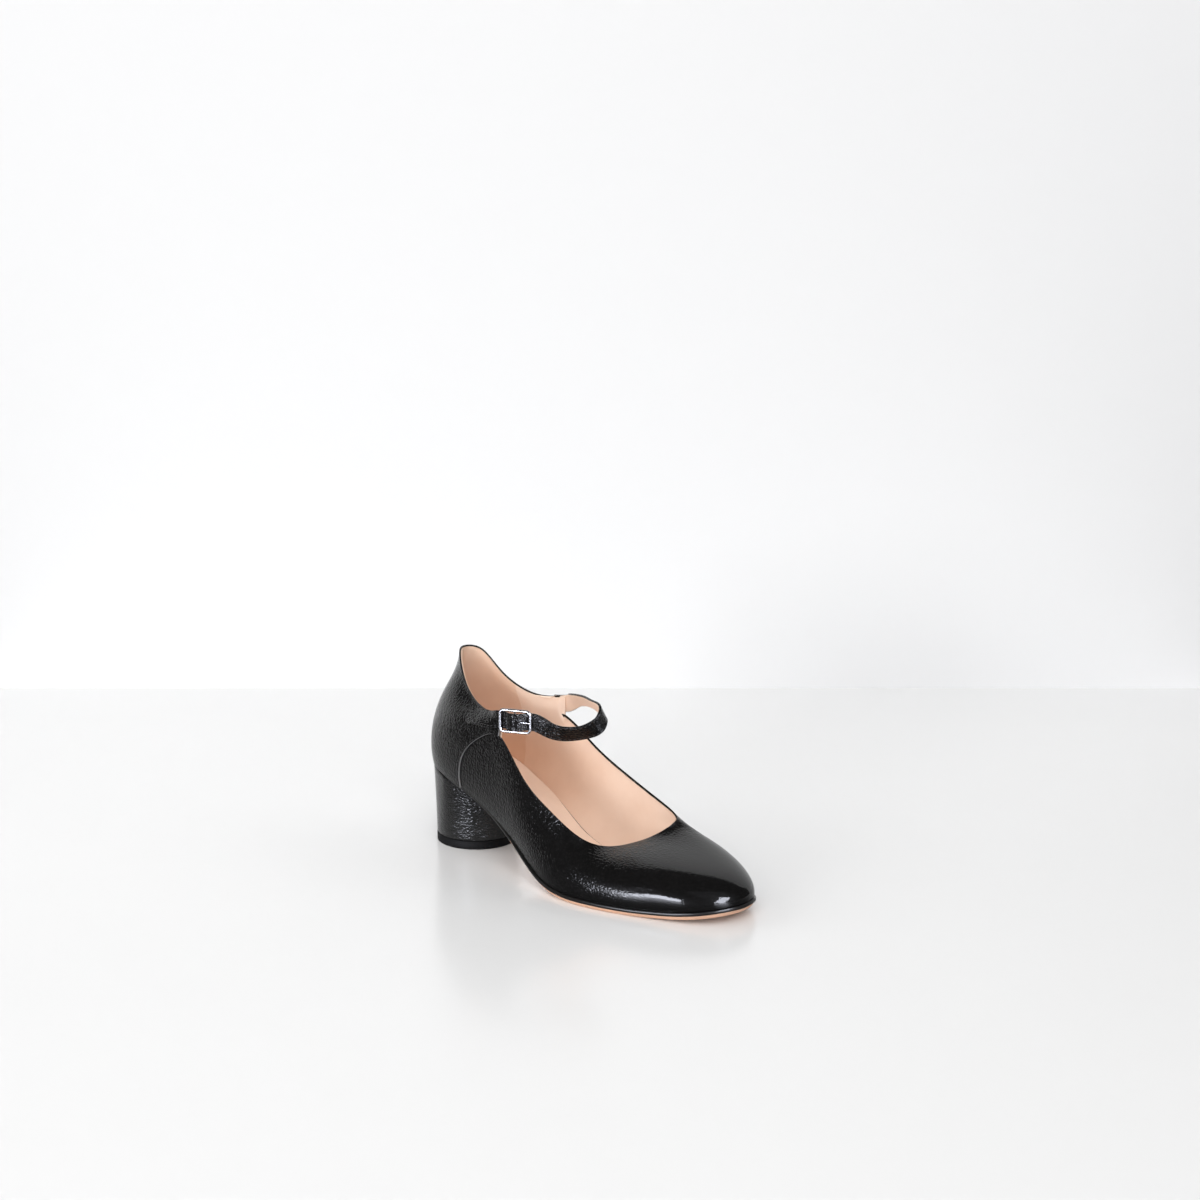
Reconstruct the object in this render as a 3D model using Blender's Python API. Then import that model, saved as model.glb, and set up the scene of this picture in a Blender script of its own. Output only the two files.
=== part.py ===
"""Mary jane pump for the right foot: one shoe, built as its maker's pieces.

Metres, +X to the toe, +Y to the medial side, +Z up. The origin is on the floor, under the middle of the shoe.
"""

import bmesh
import bpy
import numpy as np
from mathutils import Matrix, Vector

# Driving sizes
LENGTH = 0.230            # feather line, from the back of the seat to the toe
BALL_WIDTH = 0.078        # across the feather line at the ball
SEAT_WIDTH = 0.053        # across the feather line at the seat
HEEL_HEIGHT = 0.0480      # floor to the feather line at the back
BACK_HEIGHT = 0.0670      # feather line to the topline at the back
THROAT_HEIGHT = 0.0310    # floor to the middle of the throat
TOE_SPRING = 0.0050       # rise of the feather line from the ball to the toe
WALL = 0.0020             # upper leather with its lining
SEAM_STEP = 0.0009        # how far the quarter stands over the vamp at the side seams
SOLE_THICKNESS = 0.0040   # outsole under the forepart
SEAT_THICKNESS = 0.0014   # outsole under the seat
SOLE_LIP = 0.0011         # how far the outsole stands out round the forepart
SEAT_INSET = 0.0004       # how far it hides under the seat
EDGE_HEIGHT = 0.0013      # upright edge of the outsole above its bevel
BEVEL_RUN = 0.0024        # how far the bevel runs in under the forepart
INSOLE_THICKNESS = 0.0022
INSOLE_GAP = 0.0005       # round its edge, where the lining turns in
HEEL_DIAMETER = 0.0476    # round heel block at its foot
TOP_PIECE_HEIGHT = 0.0050
STRAP_WIDTH = 0.0100
STRAP_THICKNESS = 0.0015
STRAP_HOLE = 0.0014       # punched holes
BUCKLE_LENGTH = 0.0180    # between the middles of the end bars
BUCKLE_WIRE = 0.0017
BUCKLE_CORNER = 0.0024    # radius of the frame's corners
BAR_WIRE = 0.0011
PRONG_WIRE = 0.0010
TAB_WIDTH = 0.0086
TAB_THICKNESS = 0.0007    # one layer of the folded buckle tab
CLEARANCE = 0.0003        # between pieces that touch

# Stations round the last, from the back along the lateral side to the toe and home along the medial side.
# sole_* is the feather line, mid_* the throat of the vamp and a line at its level round the quarter.
# along: share of LENGTH. across: share of the half width there, medial positive.
# on_quarter, on_throat: shares of the height of the back above the floor and of THROAT_HEIGHT.
# foot_*, head_*: handles of the rib between the two lines, shares of its chord.
STATION_COLUMNS = (
    "sole_along", "sole_across", "mid_along", "mid_across", "on_quarter", "on_throat",
    "foot_out", "foot_up", "head_out", "head_down",
)
STATIONS = {
    "back":                (0.000, 0.00, 0.011, 0.00, 0.713, 0.00, 0.07, 0.35, 0.12, 0.32),
    "back_lateral":        (0.039, -0.68, 0.041, -0.53, 0.704, 0.00, 0.07, 0.35, 0.12, 0.32),
    "seat_lateral":        (0.140, -1.00, 0.148, -0.89, 0.696, 0.00, 0.07, 0.32, 0.09, 0.30),
    "shank_lateral":       (0.240, -1.00, 0.252, -0.94, 0.700, 0.00, 0.07, 0.30, 0.07, 0.28),
    "tab_lateral":         (0.335, -0.94, 0.343, -0.92, 0.681, 0.00, 0.07, 0.28, 0.04, 0.28),
    "waist_lateral":       (0.430, -0.91, 0.439, -0.90, 0.383, 0.50, 0.09, 0.28, 0.055, 0.30),
    "joint_lateral":       (0.522, -0.96, 0.526, -0.82, 0.189, 0.80, 0.10, 0.30, 0.10, 0.30),
    "ball_lateral":        (0.617, -0.995, 0.600, -0.73, 0.052, 1.00, 0.12, 0.35, 0.20, 0.23),
    "forepart_lateral":    (0.739, -0.87, 0.648, -0.525, 0.000, 0.97, 0.11, 0.33, 0.39, 0.14),
    "toe_side_lateral":    (0.857, -0.60, 0.678, -0.255, 0.000, 0.925, 0.08, 0.26, 0.45, 0.07),
    "toe_corner_lateral":  (0.943, -0.335, 0.696, -0.05, 0.000, 0.96, 0.065, 0.21, 0.48, 0.05),
    "toe":                 (1.000, 0.205, 0.713, 0.18, 0.000, 1.03, 0.043, 0.20, 0.51, 0.043),
    "toe_corner_medial":   (0.970, 0.68, 0.726, 0.385, 0.000, 1.135, 0.05, 0.21, 0.45, 0.06),
    "toe_side_medial":     (0.896, 0.885, 0.730, 0.55, 0.000, 1.225, 0.08, 0.25, 0.35, 0.12),
    "forepart_medial":     (0.791, 0.975, 0.709, 0.68, 0.031, 1.20, 0.09, 0.28, 0.23, 0.21),
    "ball_medial":         (0.674, 0.872, 0.635, 0.705, 0.137, 1.00, 0.09, 0.27, 0.11, 0.27),
    "joint_medial":        (0.557, 0.68, 0.539, 0.70, 0.294, 0.70, 0.12, 0.26, 0.08, 0.28),
    "arch_medial":         (0.426, 0.585, 0.426, 0.73, 0.515, 0.30, 0.15, 0.25, 0.06, 0.30),
    "tab_medial":          (0.313, 0.76, 0.322, 0.78, 0.707, 0.00, 0.12, 0.27, 0.06, 0.27),
    "shank_medial":        (0.226, 0.90, 0.235, 0.82, 0.700, 0.00, 0.09, 0.30, 0.07, 0.28),
    "seat_medial":         (0.140, 1.00, 0.148, 0.83, 0.696, 0.00, 0.07, 0.32, 0.09, 0.30),
    "back_medial":         (0.039, 0.68, 0.041, 0.53, 0.704, 0.00, 0.07, 0.35, 0.12, 0.32),
}

# The topline of the quarters at the same stations: along, across, share of the height of the back above the floor
COLLAR = {
    "tab_medial":    (0.322, 0.76, 0.796),
    "shank_medial":  (0.235, 0.745, 0.779),
    "seat_medial":   (0.148, 0.60, 0.848),
    "back_medial":   (0.094, 0.32, 0.978),
    "back":          (0.072, 0.00, 1.000),
    "back_lateral":  (0.096, -0.32, 0.978),
    "seat_lateral":  (0.157, -0.585, 0.848),
    "shank_lateral": (0.248, -0.76, 0.776),
    "tab_lateral":   (0.341, -0.85, 0.796),
}

# The free end of the strap on the lateral quarter, from its tip: share of LENGTH behind the quarter's front edge,
# share of the way from the mid line (1) to the topline (2), and lift off the leather as a share of STRAP_THICKNESS
FREE_END = (
    (0.131, 1.212, 0.60),
    (0.100, 1.312, 0.70),
    (0.065, 1.425, 0.75),
    (0.028, 1.550, 0.60),
)

# The strap across the instep, from the buckle to the medial quarter: share of LENGTH, share of half BALL_WIDTH,
# share of the height of the back above the floor, and degrees that its upper edge leans inward
LOOP = (
    (0.459, -0.360, 0.732, -12), (0.500, -0.212, 0.722, -26), (0.534, -0.050, 0.739, -24),
    (0.5555, 0.075, 0.780, -6), (0.552, 0.152, 0.816, 18), (0.514, 0.245, 0.832, 34),
    (0.468, 0.352, 0.831, 40), (0.391, 0.488, 0.805, 36),
)
SEWN_ON = ((-0.004, 1.52, 0.40), (0.012, 1.50, 0.40), (0.027, 1.48, 0.40))   # as FREE_END, on the medial quarter

BUCKLE_AT = (0.3896, -0.667, 0.770)   # middle of the centre bar: share of LENGTH, half BALL_WIDTH, height of the back
BUCKLE_TURN = 27          # degrees from straight ahead to the medial side

# Height of the feather line: share of LENGTH, share of the heel's rise, share of TOE_SPRING
PROFILE = (
    (0.000, 1.000, 0.00),
    (0.060, 0.970, 0.00),
    (0.140, 0.890, 0.00),
    (0.220, 0.775, 0.00),
    (0.300, 0.625, 0.00),
    (0.380, 0.412, 0.00),
    (0.450, 0.210, 0.00),
    (0.520, 0.066, 0.00),
    (0.580, 0.014, 0.00),
    (0.640, 0.000, 0.00),
    (0.790, 0.000, 0.00),
    (0.870, 0.000, 0.18),
    (0.940, 0.000, 0.52),
    (1.000, 0.000, 1.00),
)

HEEL_CENTRE = 0.1125      # share of LENGTH under the middle of the round heel
BREAST = 0.235            # share of LENGTH where the heel block ends under the seat
SEAT_END = 0.16           # share of LENGTH where the seat's width ends
BALL_START = 0.62         # and where the ball's width starts
SEAM_FOOT = 0.190         # share of LENGTH where both side seams meet the feather line
SEAM_BEND = 4.0           # how late the seams swing forward on their way up
SEAM_RAMP = 0.0004        # width of the step at the seam

COLUMNS_QUARTER = 24      # columns of the upper's grid on each quarter
COLUMNS_VAMP = 36         # and on each half of the vamp
ROWS_LOWER = 11
ROWS_UPPER = 3
OUTLINE_STEPS = 60        # sections of the sole pieces
HEEL_STEPS = 18
HEEL_LEVELS = 6
HEEL_FLARE = 1.4          # how late the heel block widens towards the seat
HEEL_PROUD = 0.0004       # the covered heel stands out from the feather line by this
TOP_PIECE_CHAMFER = 0.0004
SHARP_ANGLE = 0.6
STRAP_SECTIONS = 60        # along the strap outside the buckle
BUCKLE_SECTIONS = 26       # and inside it, where the strap bends hard
WAVE_KNOTS = 9
STRAP_TIP = 0.42          # radius of the free end's corners, share of STRAP_WIDTH
STRAP_HOLES = (0.095,)    # punched holes, share of LENGTH from the free end
TAB_SHARE = 1.62          # height of the buckle tab on the quarter's front edge
TAB_GAP = 0.0012          # from that edge, so that the slanted end stays clear of it
LIP_GROWS = (0.20, 0.50)  # shares of LENGTH between which the outsole's lip comes out
SOLE_GROWS = (0.28, 0.58) # and between which the outsole reaches its full thickness and bevel
EDGE_SHARE = 0.45         # the upright edge takes no more than this of a thin sole


def hermite(x, xs, ys):
    """Smooth curve through a table that neither overshoots nor leaves its flat stretches."""
    xs, ys = np.asarray(xs, float), np.asarray(ys, float)
    slope = np.diff(ys) / np.diff(xs)
    tangent = np.zeros(len(xs))
    inner = slope[:-1] * slope[1:] > 0
    tangent[1:-1][inner] = 2 * (slope[:-1] * slope[1:])[inner] / (slope[:-1] + slope[1:])[inner]
    tangent[0], tangent[-1] = slope[0], slope[-1]
    x = np.clip(x, xs[0], xs[-1])
    i = np.clip(np.searchsorted(xs, x, side="right") - 1, 0, len(xs) - 2)
    width = xs[i + 1] - xs[i]
    t = (x - xs[i]) / width
    return (ys[i] * (1 + 2 * t) * (1 - t) ** 2 + ys[i + 1] * t * t * (3 - 2 * t)
            + width * (tangent[i] * t * (1 - t) ** 2 - tangent[i + 1] * t * t * (1 - t)))


def spline(knots, values, at, closed):
    """Cubic spline through the rows of values, round a loop or with free ends."""
    count = len(values)
    gaps = np.diff(knots)
    system = np.zeros((count, count))
    right = np.zeros(values.shape)
    for i in range(count):
        if not closed and i in (0, count - 1):
            system[i, i] = 1
            continue
        before, after = (i - 1) % count, (i + 1) % count
        system[i, before] += gaps[before]
        system[i, i] += 2 * (gaps[before] + gaps[i])
        system[i, after] += gaps[i]
        right[i] = 6 * ((values[after] - values[i]) / gaps[i] - (values[i] - values[before]) / gaps[before])
    bend = np.linalg.solve(system, right)
    i = np.clip(np.searchsorted(knots, at, side="right") - 1, 0, len(gaps) - 1)
    j = (i + 1) % count
    width = gaps[i][:, None]
    a = (knots[i + 1] - at)[:, None] / width
    b = 1 - a
    return a * values[i] + b * values[j] + ((a**3 - a) * bend[i] + (b**3 - b) * bend[j]) * width**2 / 6


def half_width(along):
    t = np.clip((np.asarray(along, float) - SEAT_END) / (BALL_START - SEAT_END), 0, 1)
    t = t * t * (3 - 2 * t)
    return SEAT_WIDTH / 2 * (1 - t) + BALL_WIDTH / 2 * t


def feather_height(x):
    """Height of the feather line above the floor, x metres from the back of the seat."""
    along, heel, toe = np.array(PROFILE).T
    tread = SOLE_THICKNESS + CLEARANCE
    share = np.asarray(x, float) / LENGTH
    return tread + (HEEL_HEIGHT - tread) * hermite(share, along, heel) + TOE_SPRING * hermite(share, along, toe)


class Last:
    """The shape that the upper is pulled over."""

    def __init__(self):
        table = {name: dict(zip(STATION_COLUMNS, row)) for name, row in STATIONS.items()}
        self.names = list(table)
        top = HEEL_HEIGHT + BACK_HEIGHT
        rows = []
        for row in table.values():
            sole = row["sole_along"] * LENGTH, row["sole_across"] * half_width(row["sole_along"])
            mid = row["mid_along"] * LENGTH, row["mid_across"] * half_width(row["mid_along"])
            height = row["on_quarter"] * top + row["on_throat"] * THROAT_HEIGHT
            handles = row["foot_out"], row["foot_up"], row["head_out"], row["head_down"]
            rows.append((*sole, *mid, height, *handles))
        self.rows = np.array(rows)
        steps = np.linalg.norm(np.roll(self.rows[:, :2], -1, axis=0) - self.rows[:, :2], axis=1)
        self.knots = np.concatenate([[0], np.cumsum(steps)])
        self.round = self.knots[-1]
        collar = [(along * LENGTH, across * half_width(along), rise * top)
                  for along, across, rise in COLLAR.values()]
        places = [self.place(name) for name in COLLAR]
        half = len(places) // 2
        self.collar_knots = np.array([p - self.round for p in places[:half]] + places[half:])
        self.collar_rows = np.array(collar)

    def place(self, name):
        return self.knots[self.names.index(name)]

    def along_side(self, share, side):
        """Place on the feather line at a share of LENGTH, on the lateral (-1) or medial (+1) side."""
        toe = self.place("toe")
        places = np.linspace(0, toe, 800) if side < 0 else np.linspace(self.round, toe, 800)
        x = spline(self.knots, self.rows, places, True)[:, 0]
        return float(np.interp(share * LENGTH, x, places))

    def feather(self, places):
        """Feather line and its outward direction in plan."""
        places = np.mod(places, self.round)
        step = self.round / 4000
        ahead = spline(self.knots, self.rows, np.mod(places + step, self.round), True)[:, :2]
        behind = spline(self.knots, self.rows, np.mod(places - step, self.round), True)[:, :2]
        run = (ahead - behind) / np.linalg.norm(ahead - behind, axis=1)[:, None]
        outward = np.column_stack([run[:, 1], -run[:, 0], np.zeros(len(places))])
        plan = spline(self.knots, self.rows, places, True)[:, :2]
        return np.column_stack([plan, feather_height(plan[:, 0])]), outward

    def lower(self, places, share):
        """Points from the feather line (share 0) to the mid line (share 1)."""
        foot, outward = self.feather(places)
        row = spline(self.knots, self.rows, np.mod(places, self.round), True)
        head = row[:, 2:5]
        chord = np.linalg.norm(head - foot, axis=1)[:, None]
        up = np.array([0, 0, 1.0])
        foot_out, foot_up, head_out, head_down = (row[:, k:k + 1] * chord for k in range(5, 9))
        near_foot = foot + foot_out * outward + foot_up * up
        near_head = head + head_out * outward - head_down * up
        t = np.asarray(share, float)[:, None]
        s = 1 - t
        return s**3 * foot + 3 * s * s * t * near_foot + 3 * s * t * t * near_head + t**3 * head

    def upper(self, places, share):
        """Points from the mid line (share 0) to the topline of the quarters (share 1)."""
        places = np.asarray(places, float)
        ones = np.ones(len(places))
        mid = self.lower(places, ones)
        lean = mid - self.lower(places, ones - 0.02)
        lean /= np.linalg.norm(lean, axis=1)[:, None]
        signed = np.where(places > self.round / 2, places - self.round, places)
        top = spline(self.collar_knots, self.collar_rows, signed, False)
        reach = np.linalg.norm(top - mid, axis=1)[:, None] / 3
        t = np.asarray(share, float)[:, None]
        s = 1 - t
        near_top = top - reach * np.array([0, 0, 1.0]) * 0.9 + (mid - top) * 0.08
        return s**3 * mid + 3 * s * s * t * (mid + reach * lean) + 3 * s * t * t * near_top + t**3 * top

    def point(self, places, share):
        """Points of the last: share 0 to 1 is the lower band, 1 to 2 the quarter above it."""
        share = np.asarray(share, float)
        low = self.lower(places, np.minimum(share, 1))
        if not (share > 1).any():
            return low
        return np.where((share > 1)[:, None], self.upper(places, np.maximum(share - 1, 0)), low)

    def surface(self, places, share, offset):
        """Points offset outward from the last, square to its surface."""
        places, share = np.asarray(places, float), np.asarray(share, float)
        step = self.round / 2000
        across = self.point(places + step, share) - self.point(places - step, share)
        lo = np.where(share > 1, np.maximum(share - 0.02, 1.0), np.maximum(share - 0.02, 0))
        hi = np.where(share > 1, np.minimum(share + 0.02, 2.0), np.minimum(share + 0.02, 1))
        along = self.point(places, hi) - self.point(places, lo)
        normal = np.cross(across, along)
        normal /= np.linalg.norm(normal, axis=1)[:, None]
        return self.point(places, share) + np.asarray(offset, float)[..., None] * normal, normal


LAST = Last()


def smooth_step(x, start, end):
    t = np.clip((np.asarray(x, float) / LENGTH - start) / (end - start), 0, 1)
    return t * t * (3 - 2 * t)


def sole_lip(x):
    """How far the outsole stands out from the feather line."""
    return SOLE_LIP - (SOLE_LIP + SEAT_INSET) * (1 - smooth_step(x, *LIP_GROWS))


def sole_thickness(x):
    return SEAT_THICKNESS + (SOLE_THICKNESS - SEAT_THICKNESS) * smooth_step(x, *SOLE_GROWS)


def sole_top(x):
    return feather_height(x) - CLEARANCE


def sole_bottom(x):
    return sole_top(x) - sole_thickness(x)


def cosine_steps(count):
    return (1 - np.cos(np.linspace(0, np.pi, count + 1))) / 2


class Outline:
    """The feather line moved outward in plan, as two sides over x."""

    def __init__(self, offset):
        places = np.linspace(0, LAST.round, 2401)[:-1]
        line, outward = LAST.feather(places)
        plan = line[:, :2] + np.broadcast_to(offset(line[:, 0]), len(line))[:, None] * outward[:, :2]
        back, toe = int(plan[:, 0].argmin()), int(plan[:, 0].argmax())
        plan = np.roll(plan, -back, axis=0)
        toe = (toe - back) % len(plan)
        self.lateral = plan[:toe + 1]
        self.medial = np.vstack([plan[toe:], plan[:1]])[::-1]
        self.start, self.end = plan[0, 0], plan[toe, 0]

    def side(self, x, chain):
        order = np.argsort(chain[:, 0])
        return np.interp(x, chain[order, 0], chain[order, 1])

    def ring(self, height, steps=None):
        """Closed ring of points, back to toe along the lateral side and home along the medial side."""
        x = self.start + (self.end - self.start) * cosine_steps(steps or OUTLINE_STEPS)
        return pair_ring(x, self.side(x, self.lateral), self.side(x, self.medial), height(x))


def pair_ring(x, lateral, medial, z):
    """Ring whose points lie in pairs at the same x, with one point at each end."""
    near = np.column_stack([x, lateral, z])
    far = np.column_stack([x, medial, z])
    near[0] = (near[0] + far[0]) / 2
    near[-1] = (near[-1] + far[-1]) / 2
    return np.vstack([near, far[-2:0:-1]])


def mesh_object(name, points, faces, material):
    mesh = bpy.data.meshes.new(name)
    mesh.from_pydata([tuple(p) for p in points], [], faces)
    piece = bpy.data.objects.new(name, mesh)
    bpy.context.scene.collection.objects.link(piece)
    work = bmesh.new()
    work.from_mesh(mesh)
    bmesh.ops.recalc_face_normals(work, faces=work.faces)
    work.to_mesh(mesh)
    work.free()
    mesh.materials.append(material)
    mesh.shade_smooth()
    mesh.set_sharp_from_angle(angle=SHARP_ANGLE)
    return piece


def stack(name, rings, material):
    """Solid between rings of paired points, closed by strips across the first and the last ring."""
    count = len(rings[0])
    half = count // 2
    points = np.vstack(rings)
    faces = []
    for k in range(len(rings) - 1):
        for i in range(count):
            j = (i + 1) % count
            faces.append((k * count + i, k * count + j, (k + 1) * count + j, (k + 1) * count + i))
    for base in (0, (len(rings) - 1) * count):
        faces.append((base, base + 1, base + count - 1))
        for i in range(1, half - 1):
            faces.append((base + i, base + i + 1, base + count - i - 1, base + count - i))
        faces.append((base + half - 1, base + half, base + half + 1))
    return mesh_object(name, points, faces, material)


def sweep(name, centres, across, out, profile, material, closed=False):
    """Solid swept along centres; profile is a list of (across, out) offsets in metres for each section."""
    sides = len(profile[0])
    points = [c + a * u + o * n for c, u, n, section in zip(centres, across, out, profile) for a, o in section]
    count = len(centres)
    faces = []
    for k in range(count if closed else count - 1):
        after = (k + 1) % count
        for i in range(sides):
            j = (i + 1) % sides
            faces.append((k * sides + i, k * sides + j, after * sides + j, after * sides + i))
    if not closed:
        faces.append(tuple(range(sides)))
        faces.append(tuple((count - 1) * sides + i for i in range(sides)))
    return mesh_object(name, points, faces, material)


def circle(radius, sides=10):
    turn = np.linspace(0, 2 * np.pi, sides + 1)[:-1]
    return [(radius * np.cos(a), radius * np.sin(a)) for a in turn]


def band(width, thickness):
    """Section of a strip with its four long edges taken off."""
    w, t, c = width / 2, thickness / 2, thickness / 4
    return [(-w + c, -t), (w - c, -t), (w, -t + c), (w, t - c), (w - c, t), (-w + c, t), (-w, t - c), (-w, -t + c)]


def unit(vectors):
    vectors = np.asarray(vectors, float)
    return vectors / np.linalg.norm(vectors, axis=-1, keepdims=True)


def wire(name, path, radius, square, material, closed=False):
    """Round wire along a path that stays in the plane square to the vector square."""
    path = np.asarray(path, float)
    if closed:
        run = unit(np.roll(path, -1, axis=0) - np.roll(path, 1, axis=0))
    else:
        run = unit(np.gradient(path, axis=0))
    side = np.broadcast_to(square, run.shape)
    return sweep(name, path, side, np.cross(side, run), [circle(radius)] * len(path), material, closed)


def cut(piece, cutter, operation="DIFFERENCE"):
    """Boolean with a body that is then removed. Triangles first, because its faces aren't all flat."""
    work = bmesh.new()
    work.from_mesh(piece.data)
    bmesh.ops.triangulate(work, faces=work.faces)
    work.to_mesh(piece.data)
    work.free()
    modifier = piece.modifiers.new(operation.title(), "BOOLEAN")
    modifier.operation = operation
    modifier.solver = "EXACT"
    modifier.object = cutter
    bpy.context.view_layer.update()
    graph = bpy.context.evaluated_depsgraph_get()
    mesh = bpy.data.meshes.new_from_object(piece.evaluated_get(graph))
    piece.modifiers.clear()
    piece.data = mesh
    bpy.data.objects.remove(cutter)
    mesh.shade_smooth()
    mesh.set_sharp_from_angle(angle=SHARP_ANGLE)


def make_material(name, colour, roughness, metallic=0.0, coat=0.0):
    material = bpy.data.materials.new(name)
    material.use_nodes = True
    shader = material.node_tree.nodes["Principled BSDF"]
    shader.inputs["Base Color"].default_value = (*colour, 1)
    shader.inputs["Roughness"].default_value = roughness
    shader.inputs["Metallic"].default_value = metallic
    shader.inputs["Coat Weight"].default_value = coat
    return material


def build_upper(material):
    """Vamp and quarters as one wall: open at collar and throat, and underneath where the sole closes it."""
    feet = [LAST.along_side(SEAM_FOOT, side) for side in (-1, 1)]
    tabs = [LAST.place("tab_lateral"), LAST.place("tab_medial")]

    def seams(share):
        rise = min(share, 1) ** SEAM_BEND
        lateral = feet[0] + (tabs[0] - feet[0]) * rise
        medial = feet[1] + (tabs[1] - feet[1]) * rise
        return lateral, medial

    lower = [row / ROWS_LOWER for row in range(ROWS_LOWER + 1)]
    upper = [1 + (row + 1) / ROWS_UPPER for row in range(ROWS_UPPER)]
    quarter = [("quarter", t) for t in np.linspace(0, 1, 2 * COLUMNS_QUARTER + 1)]
    vamp = [("vamp", t) for t in np.linspace(0, 1, 2 * COLUMNS_VAMP + 1)]
    columns = quarter + vamp
    points, index = [], {}
    for i, (part, t) in enumerate(columns):
        shares = np.array(lower + upper if part == "quarter" else lower)
        places = []
        for share in shares:
            lateral, medial = seams(share)
            if part == "quarter":
                places.append(medial - LAST.round + (lateral - medial + LAST.round) * t)
            else:
                places.append(lateral + SEAM_RAMP + (medial - lateral - 2 * SEAM_RAMP) * t)
        places = np.array(places)
        step = SEAM_STEP if part == "quarter" else 0.0
        outside, normal = LAST.surface(places, shares, np.full(len(shares), step))
        inside = LAST.point(places, shares) - WALL * normal
        foot, outward = LAST.feather(places[:1])
        outside[0], inside[0] = (foot + step * outward)[0], (foot - WALL * outward)[0]
        for j in range(len(shares)):
            index[i, j, "out"] = len(points)
            points.append(outside[j])
            index[i, j, "in"] = len(points)
            points.append(inside[j])
    rows = [len(lower + upper) if part == "quarter" else len(lower) for part, _ in columns]
    faces = []
    for a in range(len(columns)):
        b = (a + 1) % len(columns)
        shared = min(rows[a], rows[b])
        for side in ("out", "in"):
            for j in range(shared - 1):
                faces.append((index[a, j, side], index[b, j, side], index[b, j + 1, side], index[a, j + 1, side]))
        for j in (0, shared - 1):
            faces.append((index[a, j, "out"], index[b, j, "out"], index[b, j, "in"], index[a, j, "in"]))
        tall = a if rows[a] > rows[b] else b
        for j in range(shared - 1, max(rows[a], rows[b]) - 1):
            faces.append((index[tall, j, "out"], index[tall, j + 1, "out"],
                          index[tall, j + 1, "in"], index[tall, j, "in"]))
    return mesh_object("upper", points, faces, material)


def build_sole_pieces(nude, leather, rubber):
    edge = Outline(sole_lip)
    bevelled = Outline(lambda x: sole_lip(x) - BEVEL_RUN * smooth_step(x, *SOLE_GROWS))
    upright = lambda x: sole_top(x) - np.minimum(EDGE_HEIGHT, sole_thickness(x) * EDGE_SHARE)
    stack("outsole", [edge.ring(sole_top), edge.ring(upright), bevelled.ring(sole_bottom)], nude)

    inside = Outline(lambda x: -WALL - INSOLE_GAP + 0 * x)
    stack("insole", [inside.ring(lambda x: feather_height(x) + INSOLE_THICKNESS),
                     inside.ring(feather_height)], nude)

    centre, radius = HEEL_CENTRE * LENGTH, HEEL_DIAMETER / 2
    seat = Outline(lambda x: HEEL_PROUD + 0 * x)
    breast = BREAST * LENGTH
    steps = cosine_steps(HEEL_STEPS)
    x = seat.start + (breast - seat.start) * steps
    taper = np.sqrt(np.clip(1 - np.clip((x - centre) / (breast - centre), 0, 1) ** 2, 0, 1))
    held = np.minimum(x, centre)
    top = pair_ring(x, seat.side(held, seat.lateral) * taper, seat.side(held, seat.medial) * taper,
                    sole_bottom(x) - CLEARANCE)

    def disc(size, z):
        along = size * (2 * steps - 1)
        width = np.sqrt(np.clip(size**2 - along**2, 0, None))
        return pair_ring(centre + along, -width, width, np.full(len(along), z))

    foot = disc(radius, TOP_PIECE_HEIGHT + CLEARANCE)
    rings = []
    for level in np.linspace(0, 1, HEEL_LEVELS + 1):
        ring = foot + (top - foot) * level**HEEL_FLARE
        ring[:, 2] = foot[:, 2] + (top[:, 2] - foot[:, 2]) * level
        rings.append(ring)
    stack("heel", rings, leather)
    stack("top_piece", [disc(radius, TOP_PIECE_HEIGHT), disc(radius, TOP_PIECE_CHAMFER),
                        disc(radius - TOP_PIECE_CHAMFER, 0.0)], rubber)


class BuckleFrame:
    """Directions at the buckle: along the strap, up across it, and out of the shoe."""

    def __init__(self):
        along, across, rise = BUCKLE_AT
        self.centre = np.array([along * LENGTH, across * BALL_WIDTH / 2, rise * (HEEL_HEIGHT + BACK_HEIGHT)])
        turn = np.radians(BUCKLE_TURN)
        self.along = np.array([np.cos(turn), np.sin(turn), 0.0])
        self.out = np.array([np.sin(turn), -np.cos(turn), 0.0])
        self.up = np.array([0.0, 0.0, 1.0])

    def point(self, along, out, up=0.0):
        return self.centre + along * self.along + out * self.out + up * self.up

    def strap_height(self, along):
        """The strap dives under both end bars and over what lies on the centre bar."""
        under = -(BUCKLE_WIRE / 2 + CLEARANCE + STRAP_THICKNESS / 2)
        on_bar = max(TAB_THICKNESS, PRONG_WIRE)
        over = BAR_WIRE / 2 + CLEARANCE + on_bar + CLEARANCE + STRAP_THICKNESS / 2
        return (over + under) / 2 + (over - under) / 2 * np.cos(2 * np.pi * along / BUCKLE_LENGTH)


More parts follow.
